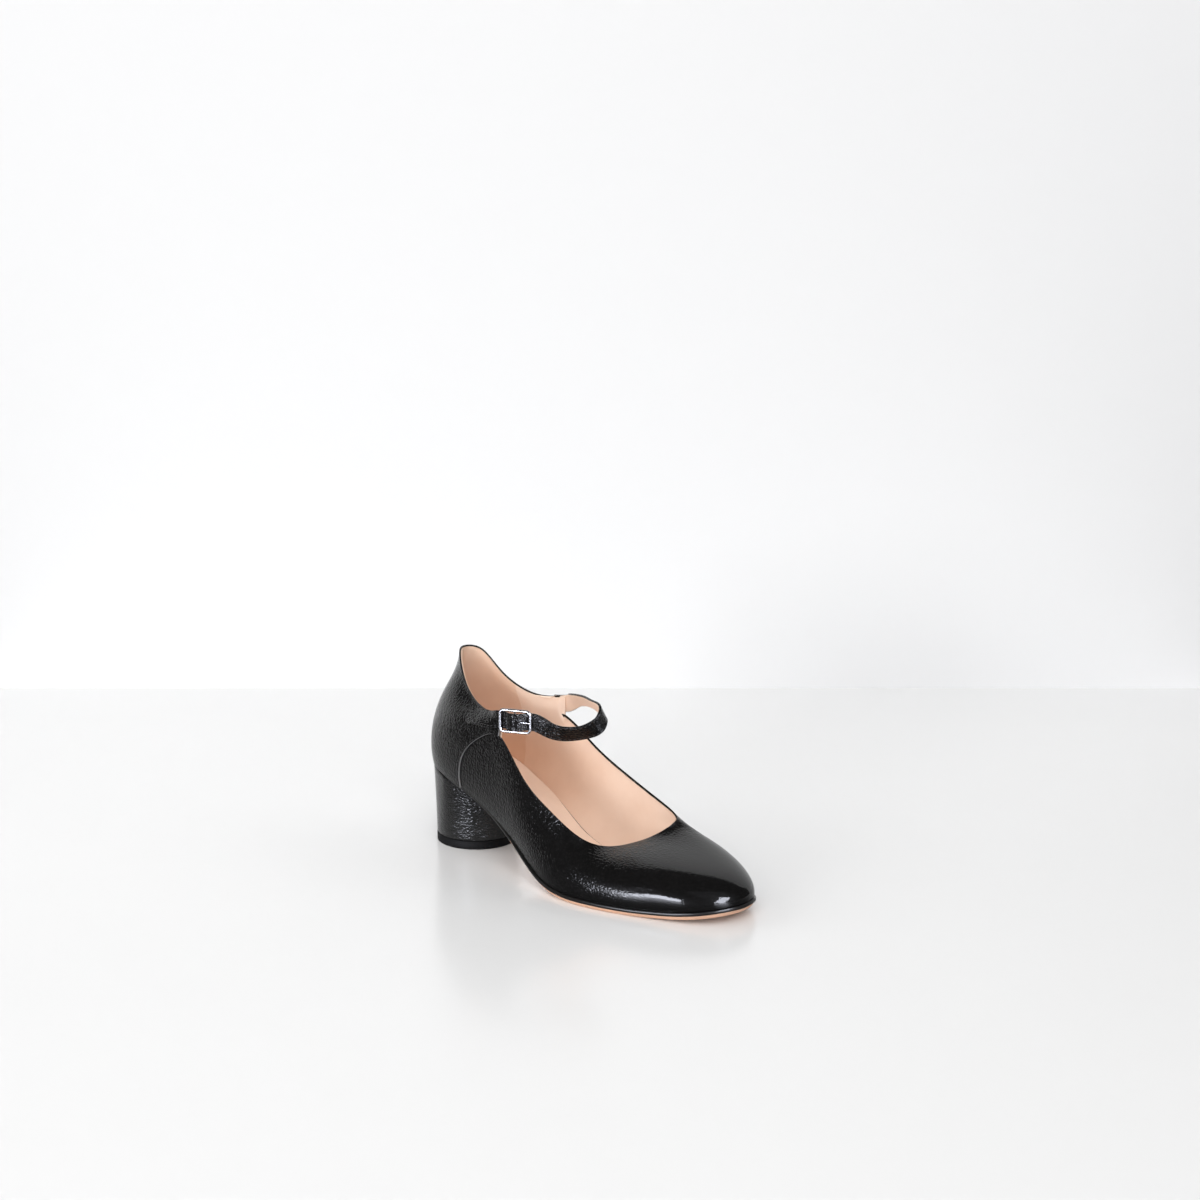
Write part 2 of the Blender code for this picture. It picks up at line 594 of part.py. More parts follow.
def strap_path(buckle):
    """Middle line of the strap and the direction of its width, from the free end to the medial quarter."""
    knots = []

    def on_quarter(rows, edge, direction):
        for back, share, lift in rows:
            place = np.array([edge + direction * back * LENGTH])
            share = np.array([share])
            raised = SEAM_STEP + CLEARANCE + STRAP_THICKNESS * (0.5 + lift)
            point, normal = LAST.surface(place, share, np.array([raised]))
            rib = LAST.point(place, share + 0.05) - LAST.point(place, share - 0.05)
            rib -= (rib * normal).sum() * normal
            knots.append((*point[0], *unit(rib)[0]))

    on_quarter(FREE_END, LAST.place("tab_lateral"), -1)
    for along in np.linspace(-0.5, 0.5, WAVE_KNOTS) * BUCKLE_LENGTH:
        knots.append((*buckle.point(along, buckle.strap_height(along)), *buckle.up))
    top = HEEL_HEIGHT + BACK_HEIGHT
    loop = np.array([(a * LENGTH, b * BALL_WIDTH / 2, c * top) for a, b, c, _ in LOOP])
    run = np.gradient(loop, axis=0)
    outward = unit(np.column_stack([run[:, 1], -run[:, 0], np.zeros(len(loop))]))
    for point, out, row in zip(loop, outward, LOOP):
        lean = np.radians(row[3])
        knots.append((*point, *(np.cos(lean) * buckle.up - np.sin(lean) * out)))
    on_quarter(SEWN_ON, LAST.place("tab_medial"), 1)

    knots = np.array(knots)
    steps = np.concatenate([[0], np.cumsum(np.linalg.norm(np.diff(knots[:, :3], axis=0), axis=1))])
    return steps, knots


def build_strap(buckle, material):
    steps, knots = strap_path(buckle)
    radius = STRAP_WIDTH * STRAP_TIP
    tip = radius * np.array([0.03, 0.15, 0.35, 0.65])
    start, end = steps[len(FREE_END)], steps[len(FREE_END) + WAVE_KNOTS - 1]
    behind = max(round(STRAP_SECTIONS * start / steps[-1]), 4)
    at = np.concatenate([tip, np.linspace(radius, start, behind)[:-1], np.linspace(start, end, BUCKLE_SECTIONS),
                         np.linspace(end, steps[-1], STRAP_SECTIONS - behind)[1:]])
    row = spline(steps, knots, at, False)
    centres = row[:, :3]
    run = unit(np.gradient(centres, at, axis=0))
    width = unit(row[:, 3:] - (row[:, 3:] * run).sum(axis=1)[:, None] * run)
    out = np.cross(run, width)
    profile = []
    for along in at:
        trim = radius - np.sqrt(radius**2 - max(radius - along, 0) ** 2)
        profile.append(band(STRAP_WIDTH - 2 * trim, STRAP_THICKNESS))
    strap = sweep("strap", centres, width, out, profile, material)
    for share in STRAP_HOLES:
        i = int(np.searchsorted(at, share * LENGTH))
        cut(strap, rod("hole", centres[i] - 2 * STRAP_THICKNESS * out[i], centres[i] + 2 * STRAP_THICKNESS * out[i],
                       STRAP_HOLE / 2, material))
    return strap


def rod(name, start, end, radius, material):
    run = unit(end - start)
    side = unit(np.cross(run, [0.3, 0.2, 0.9]))
    path = np.array([start, end])
    return sweep(name, path, [side] * 2, [np.cross(side, run)] * 2, [circle(radius, 12)] * 2, material)


def prong_path(buckle):
    """Eye round the centre bar, then straight across to rest on the front bar."""
    eye = BAR_WIRE / 2 + CLEARANCE + PRONG_WIRE / 2
    turn = np.radians(np.linspace(-30, -270, 11))
    rest = BUCKLE_WIRE / 2 + CLEARANCE + PRONG_WIRE / 2
    path = [(eye * np.cos(a), eye * np.sin(a)) for a in turn]
    reach = BUCKLE_LENGTH / 2 + BUCKLE_WIRE / 3
    path += [(reach * t, eye + (rest - eye) * t) for t in np.linspace(0.12, 1, 6)]
    return np.array([buckle.point(a, o) for a, o in path])


def build_buckle(strap, metal, leather):
    buckle = BuckleFrame()
    tall = STRAP_WIDTH / 2 + CLEARANCE + BUCKLE_WIRE / 2
    long, corner = BUCKLE_LENGTH / 2, BUCKLE_CORNER
    path = []
    for x, y, start in ((long, tall, 0), (-long, tall, 90), (-long, -tall, 180), (long, -tall, 270)):
        x, y = x - np.sign(x) * corner, y - np.sign(y) * corner
        path += [(x + corner * np.cos(a), y + corner * np.sin(a))
                 for a in np.radians(np.linspace(start, start + 90, 6))]
    frame = wire("buckle_frame", [buckle.point(a, 0, u) for a, u in path], BUCKLE_WIRE / 2, buckle.out, metal,
                 closed=True)
    cut(frame, rod("bar", buckle.point(0, 0, -tall), buckle.point(0, 0, tall), BAR_WIRE / 2, metal), "UNION")

    path = prong_path(buckle)
    wire("buckle_prong", path, PRONG_WIRE / 2, buckle.up, metal)
    cut(strap, wire("slot", path[-7:], PRONG_WIRE / 2 + CLEARANCE, buckle.up, metal))

    # The tab: two layers from the quarter's front edge, folded round the centre bar
    fold = BAR_WIRE / 2 + CLEARANCE + TAB_THICKNESS / 2
    half = (TAB_THICKNESS + CLEARANCE) / 2
    edge, _ = LAST.surface(np.array([LAST.place("tab_lateral")]), np.array([TAB_SHARE]),
                           np.array([(SEAM_STEP - WALL) / 2]))
    root = edge[0] - buckle.centre
    root = np.array([root @ buckle.along + TAB_GAP, root @ buckle.out])
    spine = [root + (np.array([-fold * 0.6, 0]) - root) * np.array([t, t * t * (3 - 2 * t)])
             for t in np.linspace(0, 1, 7)]
    spine = np.array(spine)
    square = unit(np.gradient(spine, axis=0))[:, ::-1] * np.array([-1, 1])
    turn = np.radians(np.linspace(140, -140, 13))
    loop = [(fold * np.cos(a), fold * np.sin(a)) for a in turn]
    layers = [*(spine[:-1] + half * square[:-1]), *loop, *(spine[:-1] - half * square[:-1])[::-1]]
    lift = np.interp([p[0] for p in layers], [root[0], -3 * fold], [edge[0][2] - buckle.centre[2], 0])
    path = np.array([buckle.point(a, o, u) for (a, o), u in zip(layers, lift)])
    run = unit(np.gradient(path * np.array([1, 1, 0]), axis=0))
    side = np.broadcast_to(buckle.up, run.shape)
    tab = sweep("buckle_tab", path, side, np.cross(side, run),
                [band(TAB_WIDTH, TAB_THICKNESS)] * len(path), leather)
    reach, room = 1.3 * (fold + TAB_THICKNESS), PRONG_WIRE / 2 + CLEARANCE
    corners = [buckle.point(a, o, u) for u in (-room, room)
               for a, o in ((-reach, -reach), (2 * reach, -reach), (2 * reach, reach), (-reach, reach))]
    cut(tab, mesh_object("slot", corners, [(0, 1, 2, 3), (4, 5, 6, 7), (0, 1, 5, 4), (1, 2, 6, 5), (2, 3, 7, 6),
                                           (3, 0, 4, 7)], leather))


def main():
    for old in list(bpy.data.objects):
        bpy.data.objects.remove(old, do_unlink=True)
    patent = make_material("black patent leather", (0.012, 0.012, 0.013), 0.16, coat=0.8)
    nude = make_material("nude leather", (0.62, 0.36, 0.24), 0.45)
    rubber = make_material("charcoal rubber", (0.02, 0.02, 0.022), 0.6)
    chrome = make_material("chrome", (0.78, 0.78, 0.80), 0.12, metallic=1.0)
    build_upper(patent)
    build_sole_pieces(nude, patent, rubber)
    strap = build_strap(BuckleFrame(), patent)
    build_buckle(strap, chrome, patent)

    pieces = list(bpy.context.scene.objects)
    corners = np.array([v.co for piece in pieces for v in piece.data.vertices])
    middle = (corners.min(axis=0) + corners.max(axis=0)) / 2
    for piece in pieces:
        piece.data.transform(Matrix.Translation(Vector((-middle[0], -middle[1], 0))))


main()
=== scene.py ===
import math

import bmesh
import bpy
import numpy as np
from mathutils import Euler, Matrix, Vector


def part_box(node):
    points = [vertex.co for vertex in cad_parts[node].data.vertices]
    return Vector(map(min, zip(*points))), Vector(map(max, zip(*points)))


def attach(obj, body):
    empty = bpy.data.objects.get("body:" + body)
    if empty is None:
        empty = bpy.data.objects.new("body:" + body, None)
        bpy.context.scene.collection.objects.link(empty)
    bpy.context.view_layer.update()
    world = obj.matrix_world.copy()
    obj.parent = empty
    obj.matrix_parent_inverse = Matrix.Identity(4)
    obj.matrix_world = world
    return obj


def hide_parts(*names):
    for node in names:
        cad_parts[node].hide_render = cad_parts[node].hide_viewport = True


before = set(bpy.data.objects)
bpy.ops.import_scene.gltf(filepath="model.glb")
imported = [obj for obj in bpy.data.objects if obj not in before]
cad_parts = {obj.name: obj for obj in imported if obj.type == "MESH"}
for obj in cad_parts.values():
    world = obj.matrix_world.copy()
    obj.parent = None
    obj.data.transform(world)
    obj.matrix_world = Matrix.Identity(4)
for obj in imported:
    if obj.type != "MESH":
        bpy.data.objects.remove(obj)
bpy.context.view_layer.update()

# Mary jane pump for the right foot. Metres, +X to the toe, +Y to the medial side, +Z up, as in the frame.
# The last below is the one that the frame's solids were made on; its x runs from the back of the seat.

shoe = {
    "length": 0.230, "ballWidth": 0.078, "seatWidth": 0.053, "heelHeight": 0.048, "backHeight": 0.067,
    "throatHeight": 0.031, "toeSpring": 0.005, "tread": 0.0043, "heelCentre": 0.1125,
    "seatEnd": 0.16, "ballStart": 0.62, "seamFoot": 0.190, "seamBend": 4.0,
}

# feather line, mid line and rib handles, one row for each station, round from the back by the lateral side
stations = {
    "back":             (0.000, 0.00, 0.011, 0.00, 0.713, 0.00, 0.07, 0.35, 0.12, 0.32),
    "backLateral":      (0.039, -0.68, 0.041, -0.53, 0.704, 0.00, 0.07, 0.35, 0.12, 0.32),
    "seatLateral":      (0.140, -1.00, 0.148, -0.89, 0.696, 0.00, 0.07, 0.32, 0.09, 0.30),
    "shankLateral":     (0.240, -1.00, 0.252, -0.94, 0.700, 0.00, 0.07, 0.30, 0.07, 0.28),
    "tabLateral":       (0.335, -0.94, 0.343, -0.92, 0.681, 0.00, 0.07, 0.28, 0.04, 0.28),
    "waistLateral":     (0.430, -0.91, 0.439, -0.90, 0.383, 0.50, 0.09, 0.28, 0.055, 0.30),
    "jointLateral":     (0.522, -0.96, 0.526, -0.82, 0.189, 0.80, 0.10, 0.30, 0.10, 0.30),
    "ballLateral":      (0.617, -0.995, 0.600, -0.73, 0.052, 1.00, 0.12, 0.35, 0.20, 0.23),
    "forepartLateral":  (0.739, -0.87, 0.648, -0.525, 0.000, 0.97, 0.11, 0.33, 0.39, 0.14),
    "toeSideLateral":   (0.857, -0.60, 0.678, -0.255, 0.000, 0.925, 0.08, 0.26, 0.45, 0.07),
    "toeCornerLateral": (0.943, -0.335, 0.696, -0.05, 0.000, 0.96, 0.065, 0.21, 0.48, 0.05),
    "toe":              (1.000, 0.205, 0.713, 0.18, 0.000, 1.03, 0.043, 0.20, 0.51, 0.043),
    "toeCornerMedial":  (0.970, 0.68, 0.726, 0.385, 0.000, 1.135, 0.05, 0.21, 0.45, 0.06),
    "toeSideMedial":    (0.896, 0.885, 0.730, 0.55, 0.000, 1.225, 0.08, 0.25, 0.35, 0.12),
    "forepartMedial":   (0.791, 0.975, 0.709, 0.68, 0.031, 1.20, 0.09, 0.28, 0.23, 0.21),
    "ballMedial":       (0.674, 0.872, 0.635, 0.705, 0.137, 1.00, 0.09, 0.27, 0.11, 0.27),
    "jointMedial":      (0.557, 0.68, 0.539, 0.70, 0.294, 0.70, 0.12, 0.26, 0.08, 0.28),
    "archMedial":       (0.426, 0.585, 0.426, 0.73, 0.515, 0.30, 0.15, 0.25, 0.06, 0.30),
    "tabMedial":        (0.313, 0.76, 0.322, 0.78, 0.707, 0.00, 0.12, 0.27, 0.06, 0.27),
    "shankMedial":      (0.226, 0.90, 0.235, 0.82, 0.700, 0.00, 0.09, 0.30, 0.07, 0.28),
    "seatMedial":       (0.140, 1.00, 0.148, 0.83, 0.696, 0.00, 0.07, 0.32, 0.09, 0.30),
    "backMedial":       (0.039, 0.68, 0.041, 0.53, 0.704, 0.00, 0.07, 0.35, 0.12, 0.32),
}
collar = {
    "tabMedial":    (0.322, 0.76, 0.796),
    "shankMedial":  (0.235, 0.745, 0.779),
    "seatMedial":   (0.148, 0.60, 0.848),
    "backMedial":   (0.094, 0.32, 0.978),
    "back":         (0.072, 0.00, 1.000),
    "backLateral":  (0.096, -0.32, 0.978),
    "seatLateral":  (0.157, -0.585, 0.848),
    "shankLateral": (0.248, -0.76, 0.776),
    "tabLateral":   (0.341, -0.85, 0.796),
}
soleProfile = (
    (0.000, 1.000, 0.00), (0.060, 0.970, 0.00), (0.140, 0.890, 0.00), (0.220, 0.775, 0.00),
    (0.300, 0.625, 0.00), (0.380, 0.412, 0.00), (0.450, 0.210, 0.00), (0.520, 0.066, 0.00),
    (0.580, 0.014, 0.00), (0.640, 0.000, 0.00), (0.790, 0.000, 0.00), (0.870, 0.000, 0.18),
    (0.940, 0.000, 0.52), (1.000, 0.000, 1.00),
)


# ---------- curves ----------

def hermite(x, xs, ys):
    xs, ys = np.asarray(xs, float), np.asarray(ys, float)
    slope = np.diff(ys) / np.diff(xs)
    tangent = np.zeros(len(xs))
    inner = slope[:-1] * slope[1:] > 0
    tangent[1:-1][inner] = 2 * (slope[:-1] * slope[1:])[inner] / (slope[:-1] + slope[1:])[inner]
    tangent[0], tangent[-1] = slope[0], slope[-1]
    x = np.clip(x, xs[0], xs[-1])
    i = np.clip(np.searchsorted(xs, x, side="right") - 1, 0, len(xs) - 2)
    width = xs[i + 1] - xs[i]
    t = (x - xs[i]) / width
    return (ys[i] * (1 + 2 * t) * (1 - t) ** 2 + ys[i + 1] * t * t * (3 - 2 * t)
            + width * (tangent[i] * t * (1 - t) ** 2 - tangent[i + 1] * t * t * (1 - t)))


def spline(knots, values, at, closed):
    count = len(values)
    gaps = np.diff(knots)
    system, right = np.zeros((count, count)), np.zeros(values.shape)
    for i in range(count):
        if not closed and i in (0, count - 1):
            system[i, i] = 1
            continue
        before, after = (i - 1) % count, (i + 1) % count
        system[i, before] += gaps[before]
        system[i, i] += 2 * (gaps[before] + gaps[i])
        system[i, after] += gaps[i]
        right[i] = 6 * ((values[after] - values[i]) / gaps[i] - (values[i] - values[before]) / gaps[before])
    bend = np.linalg.solve(system, right)
    i = np.clip(np.searchsorted(knots, at, side="right") - 1, 0, len(gaps) - 1)
    j = (i + 1) % count
    width = gaps[i][:, None]
    a = (knots[i + 1] - at)[:, None] / width
    b = 1 - a
    return a * values[i] + b * values[j] + ((a**3 - a) * bend[i] + (b**3 - b) * bend[j]) * width**2 / 6


def unit(vectors):
    vectors = np.asarray(vectors, float)
    return vectors / np.maximum(np.linalg.norm(vectors, axis=-1, keepdims=True), 1e-12)


def smoothStep(x, start, end):
    t = np.clip((np.asarray(x, float) - start) / (end - start), 0, 1)
    return t * t * (3 - 2 * t)


def halfWidth(along):
    t = smoothStep(along, shoe["seatEnd"], shoe["ballStart"])
    return shoe["seatWidth"] / 2 * (1 - t) + shoe["ballWidth"] / 2 * t


def featherHeight(x):
    along, heel, toe = np.array(soleProfile).T
    share = np.asarray(x, float) / shoe["length"]
    return (shoe["tread"] + (shoe["heelHeight"] - shoe["tread"]) * hermite(share, along, heel)
            + shoe["toeSpring"] * hermite(share, along, toe))


class Last:
    # the wooden form: share 0 to 1 climbs from the feather line to the mid line, 1 to 2 on up the quarter

    def __init__(self):
        self.names = list(stations)
        top = shoe["heelHeight"] + shoe["backHeight"]
        rows = []
        for row in stations.values():
            height = row[4] * top + row[5] * shoe["throatHeight"]
            rows.append((row[0] * shoe["length"], row[1] * halfWidth(row[0]), row[2] * shoe["length"],
                         row[3] * halfWidth(row[2]), height, *row[6:]))
        self.rows = np.array(rows)
        steps = np.linalg.norm(np.roll(self.rows[:, :2], -1, axis=0) - self.rows[:, :2], axis=1)
        self.knots = np.concatenate([[0], np.cumsum(steps)])
        self.round = self.knots[-1]
        places = [self.place(name) for name in collar]
        half = len(places) // 2
        self.collarKnots = np.array([p - self.round for p in places[:half]] + places[half:])
        self.collarRows = np.array([(a * shoe["length"], b * halfWidth(a), c * top)
                                    for a, b, c in collar.values()])

    def place(self, name):
        return self.knots[self.names.index(name)]

    def alongSide(self, share, side):
        toe = self.place("toe")
        places = np.linspace(0, toe, 800) if side < 0 else np.linspace(self.round, toe, 800)
        x = spline(self.knots, self.rows, places, True)[:, 0]
        return float(np.interp(share * shoe["length"], x, places))

    def feather(self, places):
        places = np.mod(places, self.round)
        step = self.round / 4000
        ahead = spline(self.knots, self.rows, np.mod(places + step, self.round), True)[:, :2]
        behind = spline(self.knots, self.rows, np.mod(places - step, self.round), True)[:, :2]
        run = unit(ahead - behind)
        outward = np.column_stack([run[:, 1], -run[:, 0], np.zeros(len(places))])
        plan = spline(self.knots, self.rows, places, True)[:, :2]
        return np.column_stack([plan, featherHeight(plan[:, 0])]), outward

    def lower(self, places, share):
        foot, outward = self.feather(places)
        row = spline(self.knots, self.rows, np.mod(places, self.round), True)
        head = row[:, 2:5]
        chord = np.linalg.norm(head - foot, axis=1)[:, None]
        up = np.array([0, 0, 1.0])
        footOut, footUp, headOut, headDown = (row[:, k:k + 1] * chord for k in range(5, 9))
        t = np.asarray(share, float)[:, None]
        s = 1 - t
        return (s**3 * foot + 3 * s * s * t * (foot + footOut * outward + footUp * up)
                + 3 * s * t * t * (head + headOut * outward - headDown * up) + t**3 * head)

    def upper(self, places, share):
        ones = np.ones(len(places))
        mid = self.lower(places, ones)
        lean = unit(mid - self.lower(places, ones - 0.02))
        signed = np.where(places > self.round / 2, places - self.round, places)
        top = spline(self.collarKnots, self.collarRows, signed, False)
        reach = np.linalg.norm(top - mid, axis=1)[:, None] / 3
        t = np.asarray(share, float)[:, None]
        s = 1 - t
        nearTop = top - reach * np.array([0, 0, 1.0]) * 0.9 + (mid - top) * 0.08
        return s**3 * mid + 3 * s * s * t * (mid + reach * lean) + 3 * s * t * t * nearTop + t**3 * top

    def point(self, places, share):
        low = self.lower(places, np.minimum(share, 1))
        if not (share > 1).any():
            return low
        return np.where((share > 1)[:, None], self.upper(places, np.maximum(share - 1, 0)), low)

    def surface(self, places, share, offset):
        # points off the last by offset, with the outward normal; any shape of array
        places, share, offset = np.broadcast_arrays(*(np.asarray(a, float) for a in (places, share, offset)))
        shape = places.shape
        places, share = places.ravel(), share.ravel()
        step = self.round / 2000
        across = self.point(places + step, share) - self.point(places - step, share)
        high = share > 1
        lo = np.where(high, np.maximum(share - 0.02, 1.0), np.maximum(share - 0.02, 0))
        hi = np.where(high, np.minimum(share + 0.02, 2.0), np.minimum(share + 0.02, 1))
        normal = unit(np.cross(across, self.point(places, hi) - self.point(places, lo)))
        points = self.point(places, share) + offset.ravel()[:, None] * normal
        return points.reshape(*shape, 3), normal.reshape(*shape, 3)


last = Last()
topPieceLow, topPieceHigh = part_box("top_piece")
shift = np.array([(topPieceLow[0] + topPieceHigh[0]) / 2 - shoe["heelCentre"] * shoe["length"],
                  (topPieceLow[1] + topPieceHigh[1]) / 2, 0.0])


# ---------- mesh helpers ----------

def finishMesh(name, mesh, materials, sharp=0.7):
    data = bpy.data.meshes.new(name)
    mesh.to_mesh(data)
    mesh.free()
    for material in materials:
        data.materials.append(material)
    data.shade_smooth()
    data.set_sharp_from_angle(angle=sharp)
    piece = bpy.data.objects.new(name, data)
    bpy.context.scene.collection.objects.link(piece)
    return piece


def sheetMesh(points, skin, slots=None):
    # a grid of rows and columns laid on points; skin is its UV, in metres on the leather
    rows, columns = points.shape[:2]
    mesh = bmesh.new()
    bmesh.ops.create_grid(mesh, x_segments=columns - 1, y_segments=rows - 1, size=0.5)
    layer = mesh.loops.layers.uv.new("skin")
    at = {}
    for vert in mesh.verts:
        column, row = round((vert.co.x + 0.5) * (columns - 1)), round((vert.co.y + 0.5) * (rows - 1))
        at[vert] = (row, column)
        vert.co = Vector(points[row, column] + shift)
    for face in mesh.faces:
        cells = [at[vert] for vert in face.verts]
        if slots is not None:
            face.material_index = int(slots[min(c[0] for c in cells), min(c[1] for c in cells)])
        for loop in face.loops:
            loop[layer].uv = skin[at[loop.vert]]
    return mesh


def closeUp(mesh):
    bmesh.ops.remove_doubles(mesh, verts=mesh.verts, dist=2e-6)
    bmesh.ops.dissolve_degenerate(mesh, edges=mesh.edges, dist=1e-7)
    bmesh.ops.recalc_face_normals(mesh, faces=mesh.faces)
    return mesh


def capEnds(mesh):
    # a swept tube or band, joined along its seam and with its open ends filled
    bmesh.ops.remove_doubles(mesh, verts=mesh.verts, dist=1e-6)
    bmesh.ops.holes_fill(mesh, edges=[edge for edge in mesh.edges if edge.is_boundary])
    bmesh.ops.recalc_face_normals(mesh, faces=mesh.faces)
    return mesh


def thicken(piece, thickness, offset, edge, rimSlot=0, segments=3):
    wall = piece.modifiers.new("wall", "SOLIDIFY")
    wall.thickness = thickness
    wall.offset = offset
    wall.use_even_offset = False
    wall.use_quality_normals = True
    wall.material_offset_rim = rimSlot
    turned = piece.modifiers.new("edge", "BEVEL")
    turned.width = edge
    turned.segments = segments
    turned.limit_method = "ANGLE"
    turned.angle_limit = math.radians(55)
    turned.harden_normals = True


def ringSheet(rings):
    # rings of points from first to last, joined round
    rings = np.array(rings)
    return np.concatenate([rings, rings[:, :1]], axis=1)


def lengthAlong(points):
    return np.concatenate([[0], np.cumsum(np.linalg.norm(np.diff(points, axis=0), axis=1))])


def arcSkin(points):
    # UV in metres: round the middle ring, and from ring to ring
    along = lengthAlong(points[len(points) // 2])
    up = np.linalg.norm(np.diff(points, axis=0), axis=2).mean(axis=1)
    up = np.concatenate([[0], np.cumsum(up)])
    return np.stack(np.broadcast_arrays(along[None, :], up[:, None]), axis=2)


def ringMesh(rings):
    points = ringSheet(rings)
    return closeUp(sheetMesh(points, arcSkin(points)))


def circle(radius, sides):
    turn = np.linspace(0, 2 * np.pi, sides + 1)[:-1]
    return np.column_stack([radius * np.cos(turn), radius * np.sin(turn)])


def sweep(centres, across, out, sections):
    # tube of sections laid along centres; sections are (across, out) offsets
    rings = [c + s[:, :1] * a + s[:, 1:] * o for c, a, o, s in zip(centres, across, out, sections)]
    return ringSheet(rings)


# ---------- materials ----------

class Signal:
    # a shader socket that takes Python's arithmetic
    def __init__(self, finish, socket):
        self.finish, self.socket = finish, socket

    def math(self, operation, *values):
        return self.finish.node("Math", {"operation": operation}, dict(enumerate(values)))

    def __add__(self, other):
        return self.math("ADD", self, other)

    def __radd__(self, other):
        return self.math("ADD", other, self)

    def __sub__(self, other):
        return self.math("SUBTRACT", self, other)

    def __rsub__(self, other):
        return self.math("SUBTRACT", other, self)

    def __mul__(self, other):
        return self.math("MULTIPLY", self, other)

    def __rmul__(self, other):
        return self.math("MULTIPLY", other, self)

    def step(self, low, high):
        # 0 below low, 1 above high, smooth between
        return self.finish.node("MapRange", {"interpolation_type": "SMOOTHSTEP"},
                                {"Value": self, "From Min": low, "From Max": high})


class Finish:
    def __init__(self, name):
        self.material = bpy.data.materials.new(name)
        self.material.use_nodes = True
        self.tree = self.material.node_tree
        self.tree.nodes.clear()

    def node(self, kind, settings=None, inputs=None, output=0):
        made = self.tree.nodes.new("ShaderNode" + kind)
        for key, value in (settings or {}).items():
            setattr(made, key, value)
        for key, value in (inputs or {}).items():
            self.feed(made.inputs[key], value)
        return Signal(self, made.outputs[output])

    def feed(self, socket, value):
        if isinstance(value, Signal):
            self.tree.links.new(value.socket, socket)
        elif socket.type == "RGBA":
            socket.default_value = (*value, 1)
        else:
            socket.default_value = value

    def objectPlace(self):
        return self.node("TexCoord", output="Object")

    def skin(self):
        return self.node("UVMap", {"uv_map": "skin"}, output="UV")

    def axis(self, vector, name):
        return self.node("SeparateXYZ", None, {"Vector": vector}, output=name)

    def stretch(self, vector, scale):
        return self.node("Mapping", None, {"Vector": vector, "Scale": scale})

    def noise(self, vector, scale, detail=2.0, roughness=0.5, distortion=0.0):
        return self.node("TexNoise", None, {"Vector": vector, "Scale": scale, "Detail": detail,
                                            "Roughness": roughness, "Distortion": distortion})

    def cells(self, vector, scale, feature="F1"):
        inputs = {"Vector": vector, "Scale": scale}
        return self.node("TexVoronoi", {"feature": feature}, inputs, output="Distance")

    def mixColour(self, factor, first, second, blend="MIX"):
        made = self.tree.nodes.new("ShaderNodeMix")
        made.data_type, made.blend_type = "RGBA", blend
        # the sockets of a colour mix: 0 factor, 6 and 7 the colours, and output 2
        for socket, value in ((0, factor), (6, first), (7, second)):
            self.feed(made.inputs[socket], value)
        return Signal(self, made.outputs[2])

    def bump(self, height, distance):
        return self.node("Bump", None, {"Height": height, "Distance": distance, "Strength": 1.0})

    def surface(self, inputs):
        made = self.tree.nodes.new("ShaderNodeBsdfPrincipled")
        for key, value in inputs.items():
            self.feed(made.inputs[key], value)
        output = self.tree.nodes.new("ShaderNodeOutputMaterial")
        self.tree.links.new(made.outputs[0], output.inputs[0])
        return self.material


socketNames = {"metallic": "Metallic", "coat": "Coat Weight", "coatRoughness": "Coat Roughness", "ior": "IOR",
               "specular": "Specular IOR Level"}


def principled(finish, colour, roughness, normal=None, **more):
    values = {"Base Color": colour, "Roughness": roughness}
    if normal is not None:
        values["Normal"] = normal
    values.update({socketNames[key]: value for key, value in more.items()})
    return finish.surface(values)


patent = {
    "black": (0.0030, 0.0029, 0.0029), "crestLight": (0.0055, 0.0052, 0.0052), "roughness": 0.07,
    "specular": 0.36, "coat": 0.09, "coatRoughness": 0.42, "depth": 0.00017, "warp": 0.0016,
    "calm": 0.86, "calmFrom": 0.045, "calmTo": 0.085, "crumpled": 1.6,
}


def makePatent(name, grain=480, depth=1.0, lines=None, crumple=(), gloss=1.0):
    # black with a clear gloss and a soft bloom over it, and a fine crinkle that the toe has stretched flat;
    # crumple lists stretches of the strap, by their place along it, where the crinkle is deep
    finish = Finish(name)
    place = finish.objectPlace()
    drift = finish.node("TexNoise", None, {"Vector": place, "Scale": 380, "Detail": 2}, output="Color")
    warp = {0: drift, 1: (patent["warp"],) * 3, 2: place}
    warped = finish.node("VectorMath", {"operation": "MULTIPLY_ADD"}, warp)
    crease = finish.cells(warped, grain, "DISTANCE_TO_EDGE").step(0.0, 0.3)
    pebble = finish.cells(warped, grain * 1.7)
    height = crease * 0.45 + pebble * 0.35 + finish.noise(place, 170, 3, 0.6) * 0.8
    if lines:
        height = height + finish.noise(finish.stretch(finish.skin(), lines), 1.0, 3, 0.6, 0.5) * 0.9
    if crumple:
        along = finish.axis(finish.skin(), "X")
        deep = 0.0
        for start, end in crumple:
            deep = along.step(start - 0.001, start + 0.001) * (1 - along.step(end - 0.005, end)) + deep
        height = height * (1 + patent["crumpled"] * deep)
    else:
        toe = finish.axis(place, "X").step(patent["calmFrom"], patent["calmTo"])
        height = height * (1 - patent["calm"] * toe)
    # the crinkle's crests are painted a shade lighter than its creases: a painted highlight on the crests and
    # painted shade in the creases
    colour = finish.mixColour(crease, patent["black"], patent["crestLight"])
    rough = finish.noise(place, 60, 3, 0.6) * 0.05 + patent["roughness"] - 0.025
    normal = finish.bump(height, patent["depth"] * depth)
    return principled(finish, colour, rough, normal, specular=patent["specular"] * gloss, coat=patent["coat"],
                      coatRoughness=patent["coatRoughness"])


nude = {
    "light": (0.85, 0.66, 0.535), "dark": (0.80, 0.60, 0.475), "suede": (0.93, 0.86, 0.80),
    "shaded": (0.88, 0.76, 0.67), "poreSize": 2400, "poreDepth": 0.00002, "gripEnd": 0.174,
    "gripEdge": 0.0001,
}


